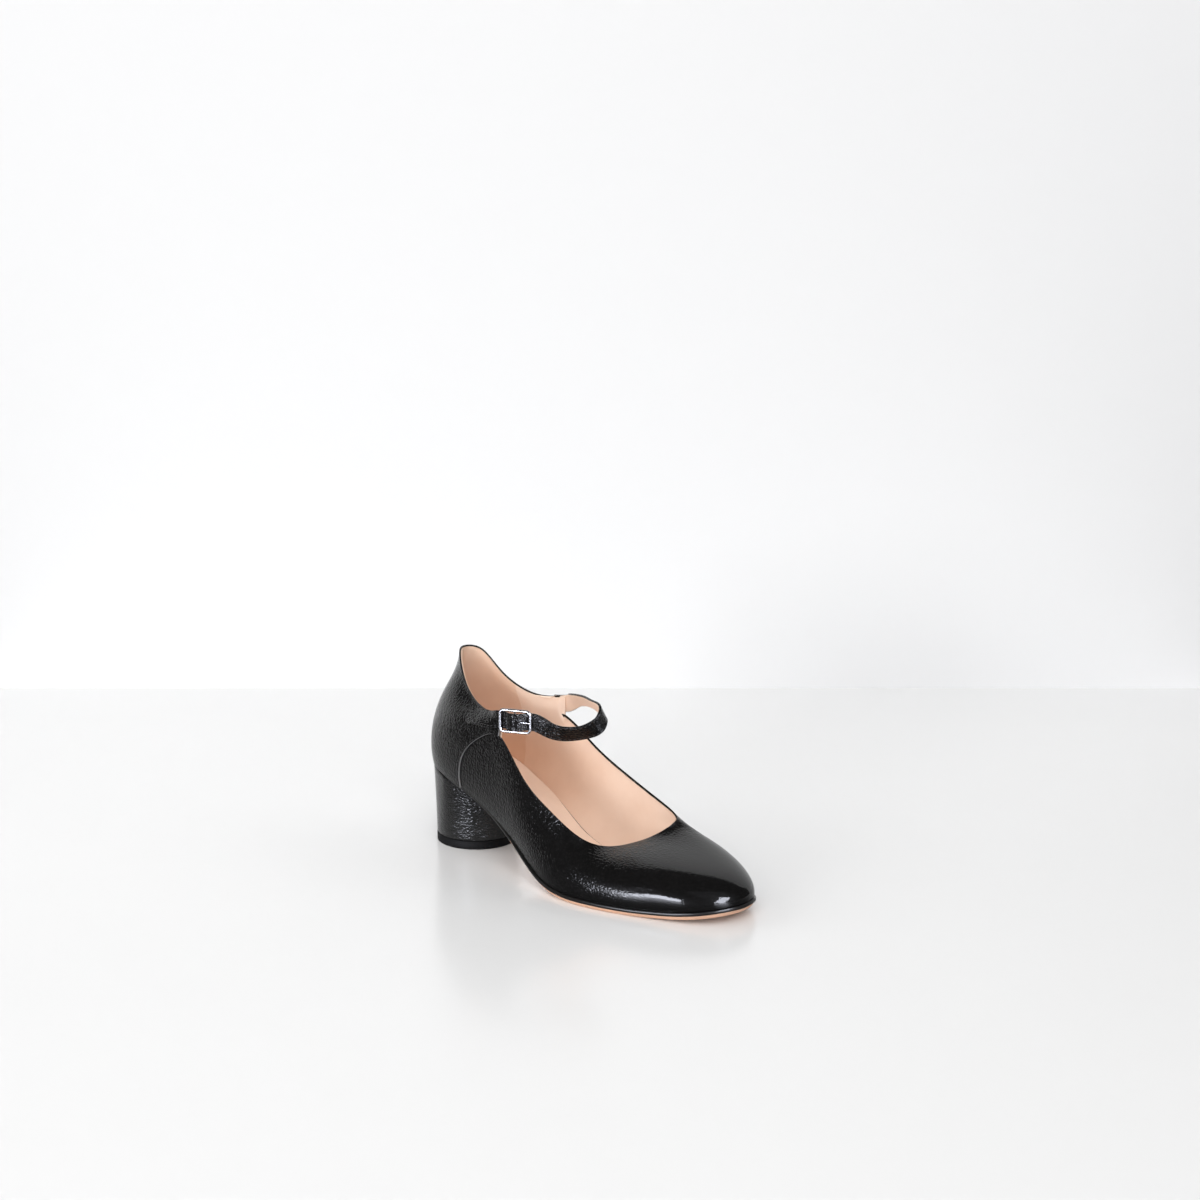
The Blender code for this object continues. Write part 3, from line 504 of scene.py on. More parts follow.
def makeNude(name, roughness, coat=0.0, gripAndShade=False):
    finish = Finish(name)
    place = finish.objectPlace()
    cloud = finish.noise(place, 38, 4, 0.6)
    pores = finish.cells(place, nude["poreSize"])
    fine = finish.noise(place, 900, 3, 0.6)
    colour = finish.mixColour(cloud.step(0.3, 0.75), nude["light"], nude["dark"])
    height = pores * 0.4 + fine
    if gripAndShade:
        # painted shade: darker and deeper in colour low down towards the back; and the heel grip there is a
        # suede piece with its edges stitched down
        front, high = finish.axis(place, "X").step(-0.075, 0.015), finish.axis(place, "Z").step(0.05, 0.08)
        deep = (1 - front) * (1 - high)
        colour = finish.mixColour(deep, colour, finish.mixColour(1.0, colour, nude["shaded"], "MULTIPLY"))
        along, edge = finish.axis(finish.skin(), "X"), nude["gripEdge"]
        start, end = last.alongSide(nude["gripEnd"], 1) - last.round, last.alongSide(nude["gripEnd"], -1)
        grip = along.step(start - edge, start + edge) * (1 - along.step(end - edge, end + edge))
        colour = finish.mixColour(grip, colour, finish.mixColour(1.0, colour, nude["suede"], "MULTIPLY"))
        height = height + grip * 6
    rough = fine * 0.12 + cloud * 0.15 + (roughness - 0.13)
    normal = finish.bump(height, nude["poreDepth"])
    return principled(finish, colour, rough, normal, coat=coat, coatRoughness=0.25)


def makePlain(name, colour, roughness, grain=900, depth=0.00002, **more):
    finish = Finish(name)
    place = finish.objectPlace()
    fine = finish.noise(place, grain, 3, 0.6)
    cloud = finish.noise(place, 45, 3, 0.6)
    tone = finish.mixColour(cloud, tuple(c * 0.85 for c in colour), tuple(min(c * 1.12, 1) for c in colour))
    rough = fine * 0.1 + cloud * 0.08 + (roughness - 0.09)
    return principled(finish, tone, rough, finish.bump(fine, depth), **more)


# the grey down the side seam is a painted highlight; the black round the collar is the edge's own colour
edgeTones = {
    "seam": (0.20, 0.198, 0.198), "collar": (0.006, 0.006, 0.006), "blackFrom": 0.082, "blackTo": 0.086,
}


def makeEdgeWithHighlight(name):
    # the turned edge is painted grey down the side seam, a painted highlight for the light it catches there,
    # and is black round the collar
    finish = Finish(name)
    high = finish.axis(finish.objectPlace(), "Z").step(edgeTones["blackFrom"], edgeTones["blackTo"])
    return principled(finish, finish.mixColour(high, edgeTones["seam"], edgeTones["collar"]), 0.4)


patentLeather = makePatent("patent leather", lines=(640, 120, 1))
heelPatent = makePatent("heel patent leather", grain=700, depth=1.1, gloss=1.8)
strapPatent = makePatent("strap patent leather", grain=500, depth=1.4,
                         crumple=((-0.01, 0.010), (0.053, 0.073)))
liningLeather = makeNude("lining leather", 0.46, gripAndShade=True)
insoleLeather = makeNude("insole leather", 0.36, coat=0.5)
strapLining = makeNude("strap lining leather", 0.46)
soleLeather = makePlain("sole leather", (0.77, 0.48, 0.335), 0.6, grain=1200, specular=0.25)
edgePaintAndHighlight = makeEdgeWithHighlight("edge paint and painted highlight")
edgeInk = makePlain("black edge ink", (0.010, 0.0095, 0.009), 0.32)
topRubber = makePlain("top piece rubber", (0.006, 0.006, 0.0065), 0.6, grain=1400, depth=0.00004,
                      specular=0.12)
blackThread = makePlain("black thread", (0.014, 0.013, 0.013), 0.5, grain=3000)
chrome = makePlain("polished chrome", (0.50, 0.50, 0.52), 0.22, grain=500, depth=0.000004, metallic=1.0)
print("materials made")


# ---------- upper: vamp, quarters, lining ----------

upperCuts = {
    "vampColumns": 320, "vampRows": 60, "quarterColumns": 260, "quarterRows": (52, 16), "underlap": 0.004,
    "leather": 0.0010, "lining": 0.0008, "seamStep": 0.0009, "topStep": 0.0006, "wall": 0.0020,
    "topWall": 0.0011, "turnedEdge": 0.00038, "liningDrop": 0.0004, "collarDrop": 0.0009, "flap": 0.0028,
}


def seamPlaces(share):
    rise = np.minimum(share, 1) ** shoe["seamBend"]
    feet = [last.alongSide(shoe["seamFoot"], side) for side in (-1, 1)]
    tabs = last.place("tabLateral"), last.place("tabMedial")
    return tuple(foot + (tab - foot) * rise for foot, tab in zip(feet, tabs))


def ribLength(points):
    steps = np.linalg.norm(np.diff(points, axis=0), axis=2)
    return np.concatenate([np.zeros((1, points.shape[1])), np.cumsum(steps, axis=0)])


def makeVamp():
    cut = upperCuts
    share = np.linspace(0, 1, cut["vampRows"] + 1)[:, None]
    across = np.linspace(0, 1, cut["vampColumns"] + 1)[None, :]
    lateral, medial = seamPlaces(share)
    under = cut["underlap"]
    places = lateral - under + (medial - lateral + 2 * under) * across
    hidden = np.maximum(smoothStep(lateral - places, 0, 0.001), smoothStep(places - medial, 0, 0.001))
    points, _ = last.surface(places, share, -0.00035 * hidden)
    skin = np.stack([places + 0 * share, ribLength(points)], axis=2)
    return finishMesh("vamp", closeUp(sheetMesh(points, skin)), [patentLeather])


def quarterShares():
    low, high = upperCuts["quarterRows"]
    return np.concatenate([np.linspace(0, 1, low + 1), np.linspace(1, 2, high + 1)[1:]])[:, None]


def makeQuarter():
    cut = upperCuts
    share = quarterShares()
    across = np.linspace(0, 1, cut["quarterColumns"] + 1)[None, :]
    lateral, medial = seamPlaces(share)
    start = medial - last.round + 0.0012 * smoothStep(share, 1.0, 1.06)
    places = start + (lateral - start) * across
    raised = cut["seamStep"] + (cut["topStep"] - cut["seamStep"]) * smoothStep(share, 1.2, 1.9)
    points, _ = last.surface(places, share, raised)
    skin = np.stack([places, ribLength(points)], axis=2)
    return finishMesh("quarters", closeUp(sheetMesh(points, skin)), [patentLeather, edgePaintAndHighlight])


def makeLining():
    # one skin inside vamp and quarters, its edge just under the turned edge of the leather
    cut = upperCuts
    share = quarterShares()
    drop = cut["liningDrop"]
    tabs = last.place("tabLateral") - drop, last.place("tabMedial") - last.round - cut["flap"]
    quarter = np.linspace(tabs[1], tabs[0], cut["quarterColumns"] + 1)
    vamp = np.linspace(tabs[0], tabs[1] + last.round, cut["vampColumns"] + 1)[1:]
    places = np.concatenate([quarter, vamp])[None, :] + 0 * share
    inVamp = np.arange(places.shape[1]) > cut["quarterColumns"]
    wall = cut["wall"] + (cut["topWall"] - cut["wall"]) * np.where(inVamp, smoothStep(share, 0.75, 1.0),
                                                                   smoothStep(share, 1.0, 1.9))
    # past the quarter's edge the flap tapers from below and lies out against the strap
    past = last.place("tabMedial") - last.round - places
    taper = 1 - 0.34 * smoothStep(past, 0, cut["flap"])
    share = np.where(inVamp | (share < 1), share, 2 - (2 - share) * taper)
    out = np.where(inVamp, 0, smoothStep(past, -0.0012, cut["flap"])) * smoothStep(share, 0.9, 1.05)
    points, _ = last.surface(places, share, -wall * (1 - out) + 0.0007 * out)
    rib = unit(last.surface(places, share, 0)[0] - last.surface(places, np.maximum(share - 0.02, 0), 0)[0])
    atTop = np.where(inVamp, smoothStep(share, 0.97, 1.0), smoothStep(share, 1.9, 2.0))[..., None]
    points = points - rib * atTop * cut["collarDrop"]
    skin = np.stack([places, ribLength(points)], axis=2)
    slots = np.where(inVamp[:-1] | inVamp[1:], share[:-1, :-1] >= 0.999, False)
    mesh = sheetMesh(points, skin, slots)
    bmesh.ops.delete(mesh, geom=[face for face in mesh.faces if face.material_index], context="FACES")
    return finishMesh("lining", closeUp(mesh), [liningLeather])


vamp, quarters, lining = makeVamp(), makeQuarter(), makeLining()
thicken(vamp, upperCuts["leather"], -1, upperCuts["turnedEdge"])
thicken(quarters, upperCuts["leather"], -1, upperCuts["turnedEdge"], rimSlot=1)
thicken(lining, upperCuts["lining"], 1, 0.0002, segments=2)
for piece, slotName in ((vamp, "patent_leather"), (quarters, "patent_leather"), (lining, "lining_leather")):
    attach(piece, "root")
    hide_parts("upper")
print("upper made")


# ---------- sole, insole, heel ----------

soleCuts = {
    "steps": 150, "lip": 0.0011, "seatInset": 0.0004, "lipGrows": (0.20, 0.50), "edge": 0.0013,
    "edgeShare": 0.45, "thickness": 0.0040, "seatThickness": 0.0014, "grows": (0.28, 0.58),
    "bevel": 0.0024, "round": 0.0003,
    "gap": 0.0003, "topFlat": 0.006, "bottomFlat": 0.004, "insoleInset": 0.0024, "insoleThickness": 0.0022,
    "insoleRound": 0.0009, "insoleFlat": 0.003, "blackTo": 0.38,
}


def pairRing(x, lateral, medial, z):
    near, far = np.column_stack([x, lateral, z]), np.column_stack([x, medial, z])
    near[0], near[-1] = (near[0] + far[0]) / 2, (near[-1] + far[-1]) / 2
    return np.vstack([near, far[-2:0:-1]])


def cosineSteps(count):
    return (1 - np.cos(np.linspace(0, np.pi, count + 1))) / 2


class Outline:
    def __init__(self, offset):
        places = np.linspace(0, last.round, 4801)[:-1]
        line, outward = last.feather(places)
        plan = line[:, :2] + np.broadcast_to(offset(line[:, 0]), len(line))[:, None] * outward[:, :2]
        back, toe = int(plan[:, 0].argmin()), int(plan[:, 0].argmax())
        plan = np.roll(plan, -back, axis=0)
        toe = (toe - back) % len(plan)
        self.lateral, self.medial = plan[:toe + 1], np.vstack([plan[toe:], plan[:1]])[::-1]
        self.start, self.end = plan[0, 0], plan[toe, 0]

    def side(self, x, chain):
        order = np.argsort(chain[:, 0])
        return np.interp(x, chain[order, 0], chain[order, 1])

    def ring(self, height, steps):
        x = self.start + (self.end - self.start) * cosineSteps(steps)
        return pairRing(x, self.side(x, self.lateral), self.side(x, self.medial), height(x))


def spineRing(ring):
    # the ring's middle line, where a flat top or bottom closes
    spine = ring.copy()
    half = len(ring) // 2
    for i in range(1, half):
        spine[i] = spine[-i] = (ring[i] + ring[-i]) / 2
    return spine


def soleLip(x):
    return soleCuts["lip"] - (soleCuts["lip"] + soleCuts["seatInset"]) * (
        1 - smoothStep(x / shoe["length"], *soleCuts["lipGrows"]))


def soleGrown(x):
    return smoothStep(x / shoe["length"], *soleCuts["grows"])


def soleThickness(x):
    return soleCuts["seatThickness"] + (soleCuts["thickness"] - soleCuts["seatThickness"]) * soleGrown(x)


def toSpine(ring, shares):
    spine = spineRing(ring)
    return [ring + (spine - ring) * share for share in shares]


def makeOutsole():
    # rings from the top's middle out, down the black edge and the bevel, and in to the bottom's middle
    cut = soleCuts
    small = cut["round"]
    corner = small * 0.25

    def top(x):
        return featherHeight(x) - 0.00005

    def bottom(x):
        return featherHeight(x) - cut["gap"] - soleThickness(x)

    def upright(x):
        return featherHeight(x) - cut["gap"] - np.minimum(cut["edge"], soleThickness(x) * cut["edgeShare"])

    def bevel(x, share=1.0):
        return corner + (cut["bevel"] - corner) * soleGrown(x) * share

    def ring(inset, height):
        return Outline(lambda x: soleLip(x) - inset(x)).ring(height, cut["steps"])

    rings = [
        ring(lambda x: cut["topFlat"], top),
        ring(lambda x: small * 2, top),
        ring(lambda x: small * 0.4, lambda x: top(x) - small * 0.3),
        ring(lambda x: 0, lambda x: top(x) - small),
        ring(lambda x: 0, lambda x: upright(x) + small * 0.5),
        ring(lambda x: corner, upright),
    ]
    rings = toSpine(rings[0], (1.0, 0.5)) + rings
    black = len(rings)
    for share in (0.12, 0.4, 0.7, 0.93):
        rings.append(ring(lambda x: bevel(x, share), lambda x: upright(x) + (bottom(x) - upright(x)) * share))
    seatBlack = black + 5
    rings.append(ring(lambda x: bevel(x) + small, bottom))
    rings.append(ring(lambda x: bevel(x) + cut["bottomFlat"], bottom))
    rings += toSpine(rings[-1], (0.25, 0.5, 0.75, 1.0))
    points = ringSheet(rings)
    slots = np.ones((len(points) - 1, points.shape[1] - 1))
    slots[:black] = 0
    slots[:seatBlack][points[:seatBlack, :-1, 0] < cut["blackTo"] * shoe["length"]] = 0
    mesh = closeUp(sheetMesh(points, arcSkin(points), slots))
    return finishMesh("outsole_dressed", mesh, [edgeInk, soleLeather], sharp=0.9)


def makeInsole():
    cut = soleCuts
    inset, thick, turn = cut["insoleInset"], cut["insoleThickness"], cut["insoleRound"]

    def ring(more, z):
        return Outline(lambda x: -inset - more).ring(lambda x: featherHeight(x) + z, cut["steps"])

    rings = [ring(0, 0.0), ring(0, thick - turn)]
    for a in np.radians((30, 60, 90)):
        rings.append(ring(turn * (1 - math.cos(a)), thick - turn + turn * math.sin(a)))
    rings.append(ring(turn + cut["insoleFlat"], thick))
    rings = toSpine(rings[0], (1.0, 0.5)) + rings + toSpine(rings[-1], (0.25, 0.5, 0.75, 1.0))
    return finishMesh("insole_dressed", ringMesh(rings), [insoleLeather], sharp=0.9)


outsole, insole = makeOutsole(), makeInsole()

heelCuts = {
    "diameter": 0.0476, "breast": 0.235, "topPiece": 0.0050, "flare": 1.4, "proud": 0.0004, "steps": 60,
    "levels": 24, "turn": 0.0008, "chamfer": 0.0004,
}


def makeHeel():
    cut = heelCuts
    centre, radius = shoe["heelCentre"] * shoe["length"], cut["diameter"] / 2
    seat = Outline(lambda x: cut["proud"])
    breast = cut["breast"] * shoe["length"]
    steps = cosineSteps(cut["steps"])
    x = seat.start + (breast - seat.start) * steps
    taper = np.sqrt(np.clip(1 - np.clip((x - centre) / (breast - centre), 0, 1) ** 2, 0, 1))
    held = np.minimum(x, centre)
    under = featherHeight(x) - 2 * soleCuts["gap"] - soleThickness(x) + 0.0002
    top = pairRing(x, seat.side(held, seat.lateral) * taper, seat.side(held, seat.medial) * taper, under)

    def disc(size, z):
        along = size * (2 * steps - 1)
        width = np.sqrt(np.clip(size**2 - along**2, 0, None))
        return pairRing(centre + along, -width, width, np.full(len(along), z))

    foot = disc(radius, cut["topPiece"] + 0.00012)

    def level(t, inset=0.0):
        ring = foot + (top - foot) * t**cut["flare"]
        ring[:, 2] = foot[:, 2] + (top[:, 2] - foot[:, 2]) * t
        middle = ring.mean(axis=0)
        ring[:, :2] -= unit(ring[:, :2] - middle[:2]) * inset
        return ring

    turn = cut["turn"]
    rings = [spineRing(level(0, turn)), level(0, turn)]
    rings += [level(t, turn * (1 - s)) for t, s in ((0.002, 0.5), (0.008, 0.85), (0.02, 1.0))]
    rings += [level(t) for t in np.linspace(0.02, 0.985, cut["levels"])[1:]]
    rings += [level(0.995, turn * 0.3), level(1.0, turn), spineRing(level(1.0, turn))]
    heel = finishMesh("heel_cover", ringMesh(rings), [heelPatent], sharp=0.9)

    rub, chamfer = cut["topPiece"], cut["chamfer"]
    rings = [disc(radius - chamfer, 0.0), disc(radius - chamfer * 0.3, chamfer * 0.3), disc(radius, chamfer),
             disc(radius, rub - chamfer * 0.6), disc(radius - chamfer * 0.6, rub)]
    rings = [spineRing(rings[0])] + rings + [spineRing(rings[-1])]
    lift = finishMesh("top_piece_dressed", ringMesh(rings), [topRubber], sharp=0.9)
    return heel, lift


heel, topPiece = makeHeel()
for piece, node, slotName in ((outsole, "outsole", "sole_leather"), (insole, "insole", "lining_leather"),
                              (heel, "heel", "patent_leather"), (topPiece, "top_piece", "top_piece_rubber")):
    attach(piece, "root")
    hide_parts(node)
print("sole and heel made")


# ---------- strap and buckle ----------

strapCuts = {
    "width": 0.0100, "thickness": 0.0015, "tip": 0.42, "sections": 260, "buckleSections": 90, "hole": 0.0014,
    "holeAt": 0.095, "gap": 0.0003, "stitchIn": 0.0013, "groove": 0.00010, "grooveWidth": 0.0003,
    "freeEnd": ((0.131, 1.212, 0.60), (0.100, 1.312, 0.70), (0.065, 1.425, 0.75), (0.028, 1.550, 0.60)),
    "loop": ((0.459, -0.360, 0.732, -12), (0.500, -0.212, 0.722, -26), (0.534, -0.050, 0.739, -24),
             (0.5555, 0.075, 0.780, -6), (0.552, 0.152, 0.816, 18), (0.514, 0.245, 0.832, 34),
             (0.468, 0.352, 0.831, 40), (0.391, 0.488, 0.805, 36)),
    "sewnOn": ((-0.004, 1.52, 0.40), (0.012, 1.46, 0.40), (0.027, 1.42, 0.40)),
}
buckleCuts = {
    "at": (0.3896, -0.667, 0.770), "turn": 27, "length": 0.0180, "wire": 0.0017, "corner": 0.0024,
    "bar": 0.0011, "prong": 0.0010, "prongSteps": 14, "tabWidth": 0.0086, "tabThickness": 0.0007,
    "tabShare": 1.62, "tabUnder": 0.002, "waveKnots": 9,
}


class Buckle:
    def __init__(self):
        along, across, rise = buckleCuts["at"]
        self.centre = np.array([along * shoe["length"], across * shoe["ballWidth"] / 2,
                                rise * (shoe["heelHeight"] + shoe["backHeight"])])
        turn = math.radians(buckleCuts["turn"])
        self.along = np.array([math.cos(turn), math.sin(turn), 0.0])
        self.out = np.array([math.sin(turn), -math.cos(turn), 0.0])
        self.up = np.array([0.0, 0.0, 1.0])

    def point(self, along, out, up=0.0):
        return self.centre + along * self.along + out * self.out + up * self.up

    def strapHeight(self, along):
        gap, thick = strapCuts["gap"], strapCuts["thickness"]
        under = -(buckleCuts["wire"] / 2 + gap + thick / 2)
        onBar = max(buckleCuts["tabThickness"], buckleCuts["prong"])
        over = buckleCuts["bar"] / 2 + gap + onBar + gap + thick / 2
        return (over + under) / 2 + (over - under) / 2 * math.cos(2 * math.pi * along / buckleCuts["length"])


buckle = Buckle()


def strapKnots():
    knots = []
    cut = strapCuts

    def onQuarter(rows, edge, direction):
        for back, share, lift in rows:
            place = np.array([edge + direction * back * shoe["length"]])
            level = np.array([share])
            raised = upperCuts["seamStep"] + cut["gap"] + cut["thickness"] * (0.5 + lift)
            point, normal = last.surface(place, level, raised)
            rib = last.point(place, level + 0.05) - last.point(place, level - 0.05)
            rib -= (rib * normal).sum() * normal
            knots.append((*point[0], *unit(rib)[0]))

    onQuarter(cut["freeEnd"], last.place("tabLateral"), -1)
    for along in np.linspace(-0.5, 0.5, buckleCuts["waveKnots"]) * buckleCuts["length"]:
        knots.append((*buckle.point(along, buckle.strapHeight(along)), *buckle.up))
    top = shoe["heelHeight"] + shoe["backHeight"]
    loop = np.array([(a * shoe["length"], b * shoe["ballWidth"] / 2, c * top) for a, b, c, _ in cut["loop"]])
    run = np.gradient(loop, axis=0)
    outward = unit(np.column_stack([run[:, 1], -run[:, 0], np.zeros(len(loop))]))
    for point, out, row in zip(loop, outward, cut["loop"]):
        lean = math.radians(row[3])
        knots.append((*point, *(math.cos(lean) * buckle.up - math.sin(lean) * out)))
    onQuarter(cut["sewnOn"], last.place("tabMedial"), 1)
    knots = np.array(knots)
    return lengthAlong(knots[:, :3]), knots


def strapFrames(at):
    steps, knots = strapKnots()
    row = spline(steps, knots, at, False)
    centres = row[:, :3]
    run = unit(np.gradient(centres, at, axis=0))
    width = unit(row[:, 3:] - (row[:, 3:] * run).sum(axis=1)[:, None] * run)
    return centres, run, width, np.cross(run, width)


bandSteps = {"outer": 25, "corner": (65, 40, 15, -15, -40, -65), "inner": 9}


def bandSection(width, thickness, corner, grooves=()):
    # outer face on +out, corners rounded, a shallow channel where a row of stitches runs
    w, t = width / 2, thickness / 2
    across = np.linspace(-w + corner, w - corner, bandSteps["outer"])
    sunk = (strapCuts["groove"] * np.exp(-((across - g) / strapCuts["grooveWidth"]) ** 2) for g in grooves)
    outer = t - sum(sunk, 0 * across)
    turn = np.radians(bandSteps["corner"])
    right = np.column_stack([w - corner + corner * np.cos(turn), np.sin(turn) * t])
    left = right[::-1] * np.array([-1, 1])
    inside = np.linspace(w - corner, -w + corner, bandSteps["inner"])
    inner = np.column_stack([inside, -t + 0 * inside])
    return np.vstack([np.column_stack([across, outer]), right, inner, left])


def applyCut(piece, cutter):
    hole = piece.modifiers.new("hole", "BOOLEAN")
    hole.operation, hole.solver, hole.object = "DIFFERENCE", "EXACT", cutter
    bpy.context.view_layer.update()
    mesh = bpy.data.meshes.new_from_object(piece.evaluated_get(bpy.context.evaluated_depsgraph_get()))
    piece.modifiers.clear()
    piece.data = mesh
    piece.data.shade_smooth()
    piece.data.set_sharp_from_angle(angle=0.9)
    bpy.data.objects.remove(cutter)


def wireMesh(path, radius, square, closed=False):
    path = np.asarray(path, float)
    if closed:
        run = unit(np.roll(path, -1, axis=0) - np.roll(path, 1, axis=0))
    else:
        run = unit(np.gradient(path, axis=0))
    side = np.broadcast_to(square, run.shape)
    points = sweep(path, side, np.cross(side, run), [circle(radius, 16)] * len(path))
    if closed:
        points = np.concatenate([points, points[:1]])
    return capEnds(sheetMesh(points, arcSkin(points)))


def prongPath():
    # round the bar, then straight to the front of the frame
    eye = buckleCuts["bar"] / 2 + strapCuts["gap"] * 0.4 + buckleCuts["prong"] / 2
    rest = buckleCuts["wire"] / 2 + buckleCuts["prong"] / 2 + 0.00005
    turn = np.radians(np.linspace(-30, -270, 24))
    path = [(eye * math.cos(a), eye * math.sin(a)) for a in turn]
    reach = buckleCuts["length"] / 2 + buckleCuts["wire"] / 3
    path += [(reach * t, eye + (rest - eye) * t) for t in np.linspace(0, 1, buckleCuts["prongSteps"])[1:]]
    return np.array([buckle.point(a, o) for a, o in path])


def makeStrap():
    cut = strapCuts
    steps, _ = strapKnots()
    radius = cut["width"] * cut["tip"]
    tip = radius * (1 - np.cos(np.linspace(0.12, math.pi / 2, 12)))[:-1]
    start = steps[len(cut["freeEnd"])]
    end = steps[len(cut["freeEnd"]) + buckleCuts["waveKnots"] - 1]
    behind = round(cut["sections"] * start / steps[-1])
    at = np.concatenate([tip, np.linspace(radius, start, behind)[:-1],
                         np.linspace(start, end, cut["buckleSections"]),
                         np.linspace(end, steps[-1], cut["sections"] - behind)[1:]])
    centres, _, width, out = strapFrames(at)
    sections = []
    for along in at:
        trim = radius - math.sqrt(max(radius**2 - max(radius - along, 0) ** 2, 0))
        wide = cut["width"] - 2 * trim
        stitched = wide / 2 - cut["stitchIn"]
        sections.append(bandSection(wide, cut["thickness"], min(0.00045, wide * 0.1), (-stitched, stitched)))
    points = sweep(centres, width, out, sections)
    across = np.array([s[:, 0] for s in sections])
    across = np.concatenate([across, across[:, :1]], axis=1)
    skin = np.stack(np.broadcast_arrays(at[:, None], across), axis=2)
    slots = np.zeros((len(points) - 1, points.shape[1] - 1))
    inner = bandSteps["outer"] + len(bandSteps["corner"])
    slots[:, inner - 1:inner + bandSteps["inner"]] = 1
    strap = finishMesh("strap_dressed", capEnds(sheetMesh(points, skin, slots)), [strapPatent, strapLining],
                       sharp=0.9)
    holeAt = cut["holeAt"] * shoe["length"]
    centre, _, across, outward = strapFrames(np.array([holeAt - 0.001, holeAt, holeAt + 0.001]))
    path = [centre[1] + outward[1] * reach for reach in (-0.003, 0.003)]
    applyCut(strap, finishMesh("punch", wireMesh(path, cut["hole"] / 2, across[1]), [strapPatent]))
    path = prongPath()[-buckleCuts["prongSteps"]:]
    slot = wireMesh(path, buckleCuts["prong"] / 2 + 0.00012, buckle.up)
    applyCut(strap, finishMesh("slot", slot, [strapPatent]))
    return strap


def makeBuckle():
    cut = buckleCuts
    tall = strapCuts["width"] / 2 + strapCuts["gap"] + cut["wire"] / 2
    long, corner = cut["length"] / 2, cut["corner"]
    path = []
    for x, y, start in ((long, tall, 0), (-long, tall, 90), (-long, -tall, 180), (long, -tall, 270)):
        x, y = x - math.copysign(corner, x), y - math.copysign(corner, y)
        turn = np.radians(np.linspace(start, start + 90, 14))
        path += [buckle.point(x + corner * math.cos(a), 0, y + corner * math.sin(a)) for a in turn]
    rim = finishMesh("buckle_rim", wireMesh(path, cut["wire"] / 2, buckle.out, closed=True), [chrome])
    path = [buckle.point(0, 0, u) for u in np.linspace(-tall, tall, 5)]
    bar = finishMesh("buckle_bar", wireMesh(path, cut["bar"] / 2, buckle.out), [chrome])
    prong = finishMesh("prong", wireMesh(prongPath(), cut["prong"] / 2, buckle.up), [chrome])
    return rim, bar, prong


def makeTab():
    # a strip folded round the bar, its two layers sewn under the quarter's edge, with a slot for the prong
    cut = buckleCuts
    fold = cut["bar"] / 2 + 0.0001 + cut["tabThickness"] / 2
    half = cut["tabThickness"] / 2 + 0.00003
    edge, _ = last.surface(np.array([last.place("tabLateral")]), np.array([cut["tabShare"]]),
                           (upperCuts["topStep"] - upperCuts["wall"]) / 2)
    root = edge[0] - buckle.centre
    root = np.array([root @ buckle.along - cut["tabUnder"], root @ buckle.out])
    t = np.linspace(0, 1, 16)[:, None]
    spine = root + (np.array([-fold * 0.6, 0]) - root) * np.hstack([t, t * t * (3 - 2 * t)])
    square = unit(np.gradient(spine, axis=0))[:, ::-1] * np.array([-1, 1])
    turn = np.radians(np.linspace(140, -140, 25))
    loop = np.column_stack([fold * np.cos(turn), fold * np.sin(turn)])
    layers = np.vstack([spine[:-1] + half * square[:-1], loop, (spine[:-1] - half * square[:-1])[::-1]])
    lift = np.interp(layers[:, 0], [root[0], -3 * fold], [edge[0][2] - buckle.centre[2], 0])
    path = np.array([buckle.point(a, o, u) for (a, o), u in zip(layers, lift)])
    run = unit(np.gradient(path * np.array([1, 1, 0]), axis=0))
    side = np.broadcast_to(buckle.up, run.shape)
    section = bandSection(cut["tabWidth"], cut["tabThickness"], 0.0002)
    points = sweep(path, side, np.cross(side, run), [section] * len(path))
    tab = finishMesh("tab_dressed", capEnds(sheetMesh(points, arcSkin(points))), [strapPatent], sharp=0.9)
    block = bmesh.new()
    bmesh.ops.create_cube(block, size=1.0)
    reach = 2 * (fold + cut["tabThickness"])
    for vert in block.verts:
        at = buckle.point(vert.co.x * 1.6 * reach + 0.3 * reach, vert.co.y * reach,
                          vert.co.z * (cut["prong"] + 0.0004))
        vert.co = Vector(at + shift)
    bmesh.ops.recalc_face_normals(block, faces=block.faces)
    applyCut(tab, finishMesh("slot", block, [strapPatent]))
    return tab


strap = makeStrap()
rim, bar, prong = makeBuckle()
tab = makeTab()
for piece, node, slotName in ((strap, "strap", "patent_leather"), (rim, "buckle_frame", "buckle_metal"),
                              (bar, "buckle_frame", "buckle_metal"), (prong, "buckle_prong", "buckle_metal"),
                              (tab, "buckle_tab", "patent_leather")):
    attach(piece, "root")
    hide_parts(node)
print("strap and buckle made")


# ---------- stitches ----------

stitchCuts = {"length": 0.0021, "gap": 0.0007, "thread": 0.00026, "sunk": 0.45, "seamIn": 0.0018}


def stitchRow(name, path, normals):
    # short thread loops along a line, half sunk in the leather
    cut = stitchCuts
    along = lengthAlong(path)
    pitch, half = cut["length"] + cut["gap"], cut["length"] / 2
    mesh = bmesh.new()

    def read(rows, at):
        return np.array([np.interp(at, along, column) for column in rows.T])

    for k in range(int(along[-1] / pitch)):
        at = (k + 0.5) * pitch
        centre, normal = read(path, at), unit(read(normals, at))
        run = unit(read(path, at + half) - read(path, at - half))
        side = np.cross(normal, run)
        made = bmesh.ops.create_uvsphere(mesh, u_segments=6, v_segments=6, radius=1.0)
        for vert in made["verts"]:
            x, y, z = vert.co
            place = (centre + run * z * half + side * x * cut["thread"]
                     + normal * (y - cut["sunk"]) * cut["thread"] - normal * z * z * cut["thread"] * 0.5)
            vert.co = Vector(place + shift)
    piece = finishMesh(name, mesh, [blackThread], sharp=3.0)
    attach(piece, "root")


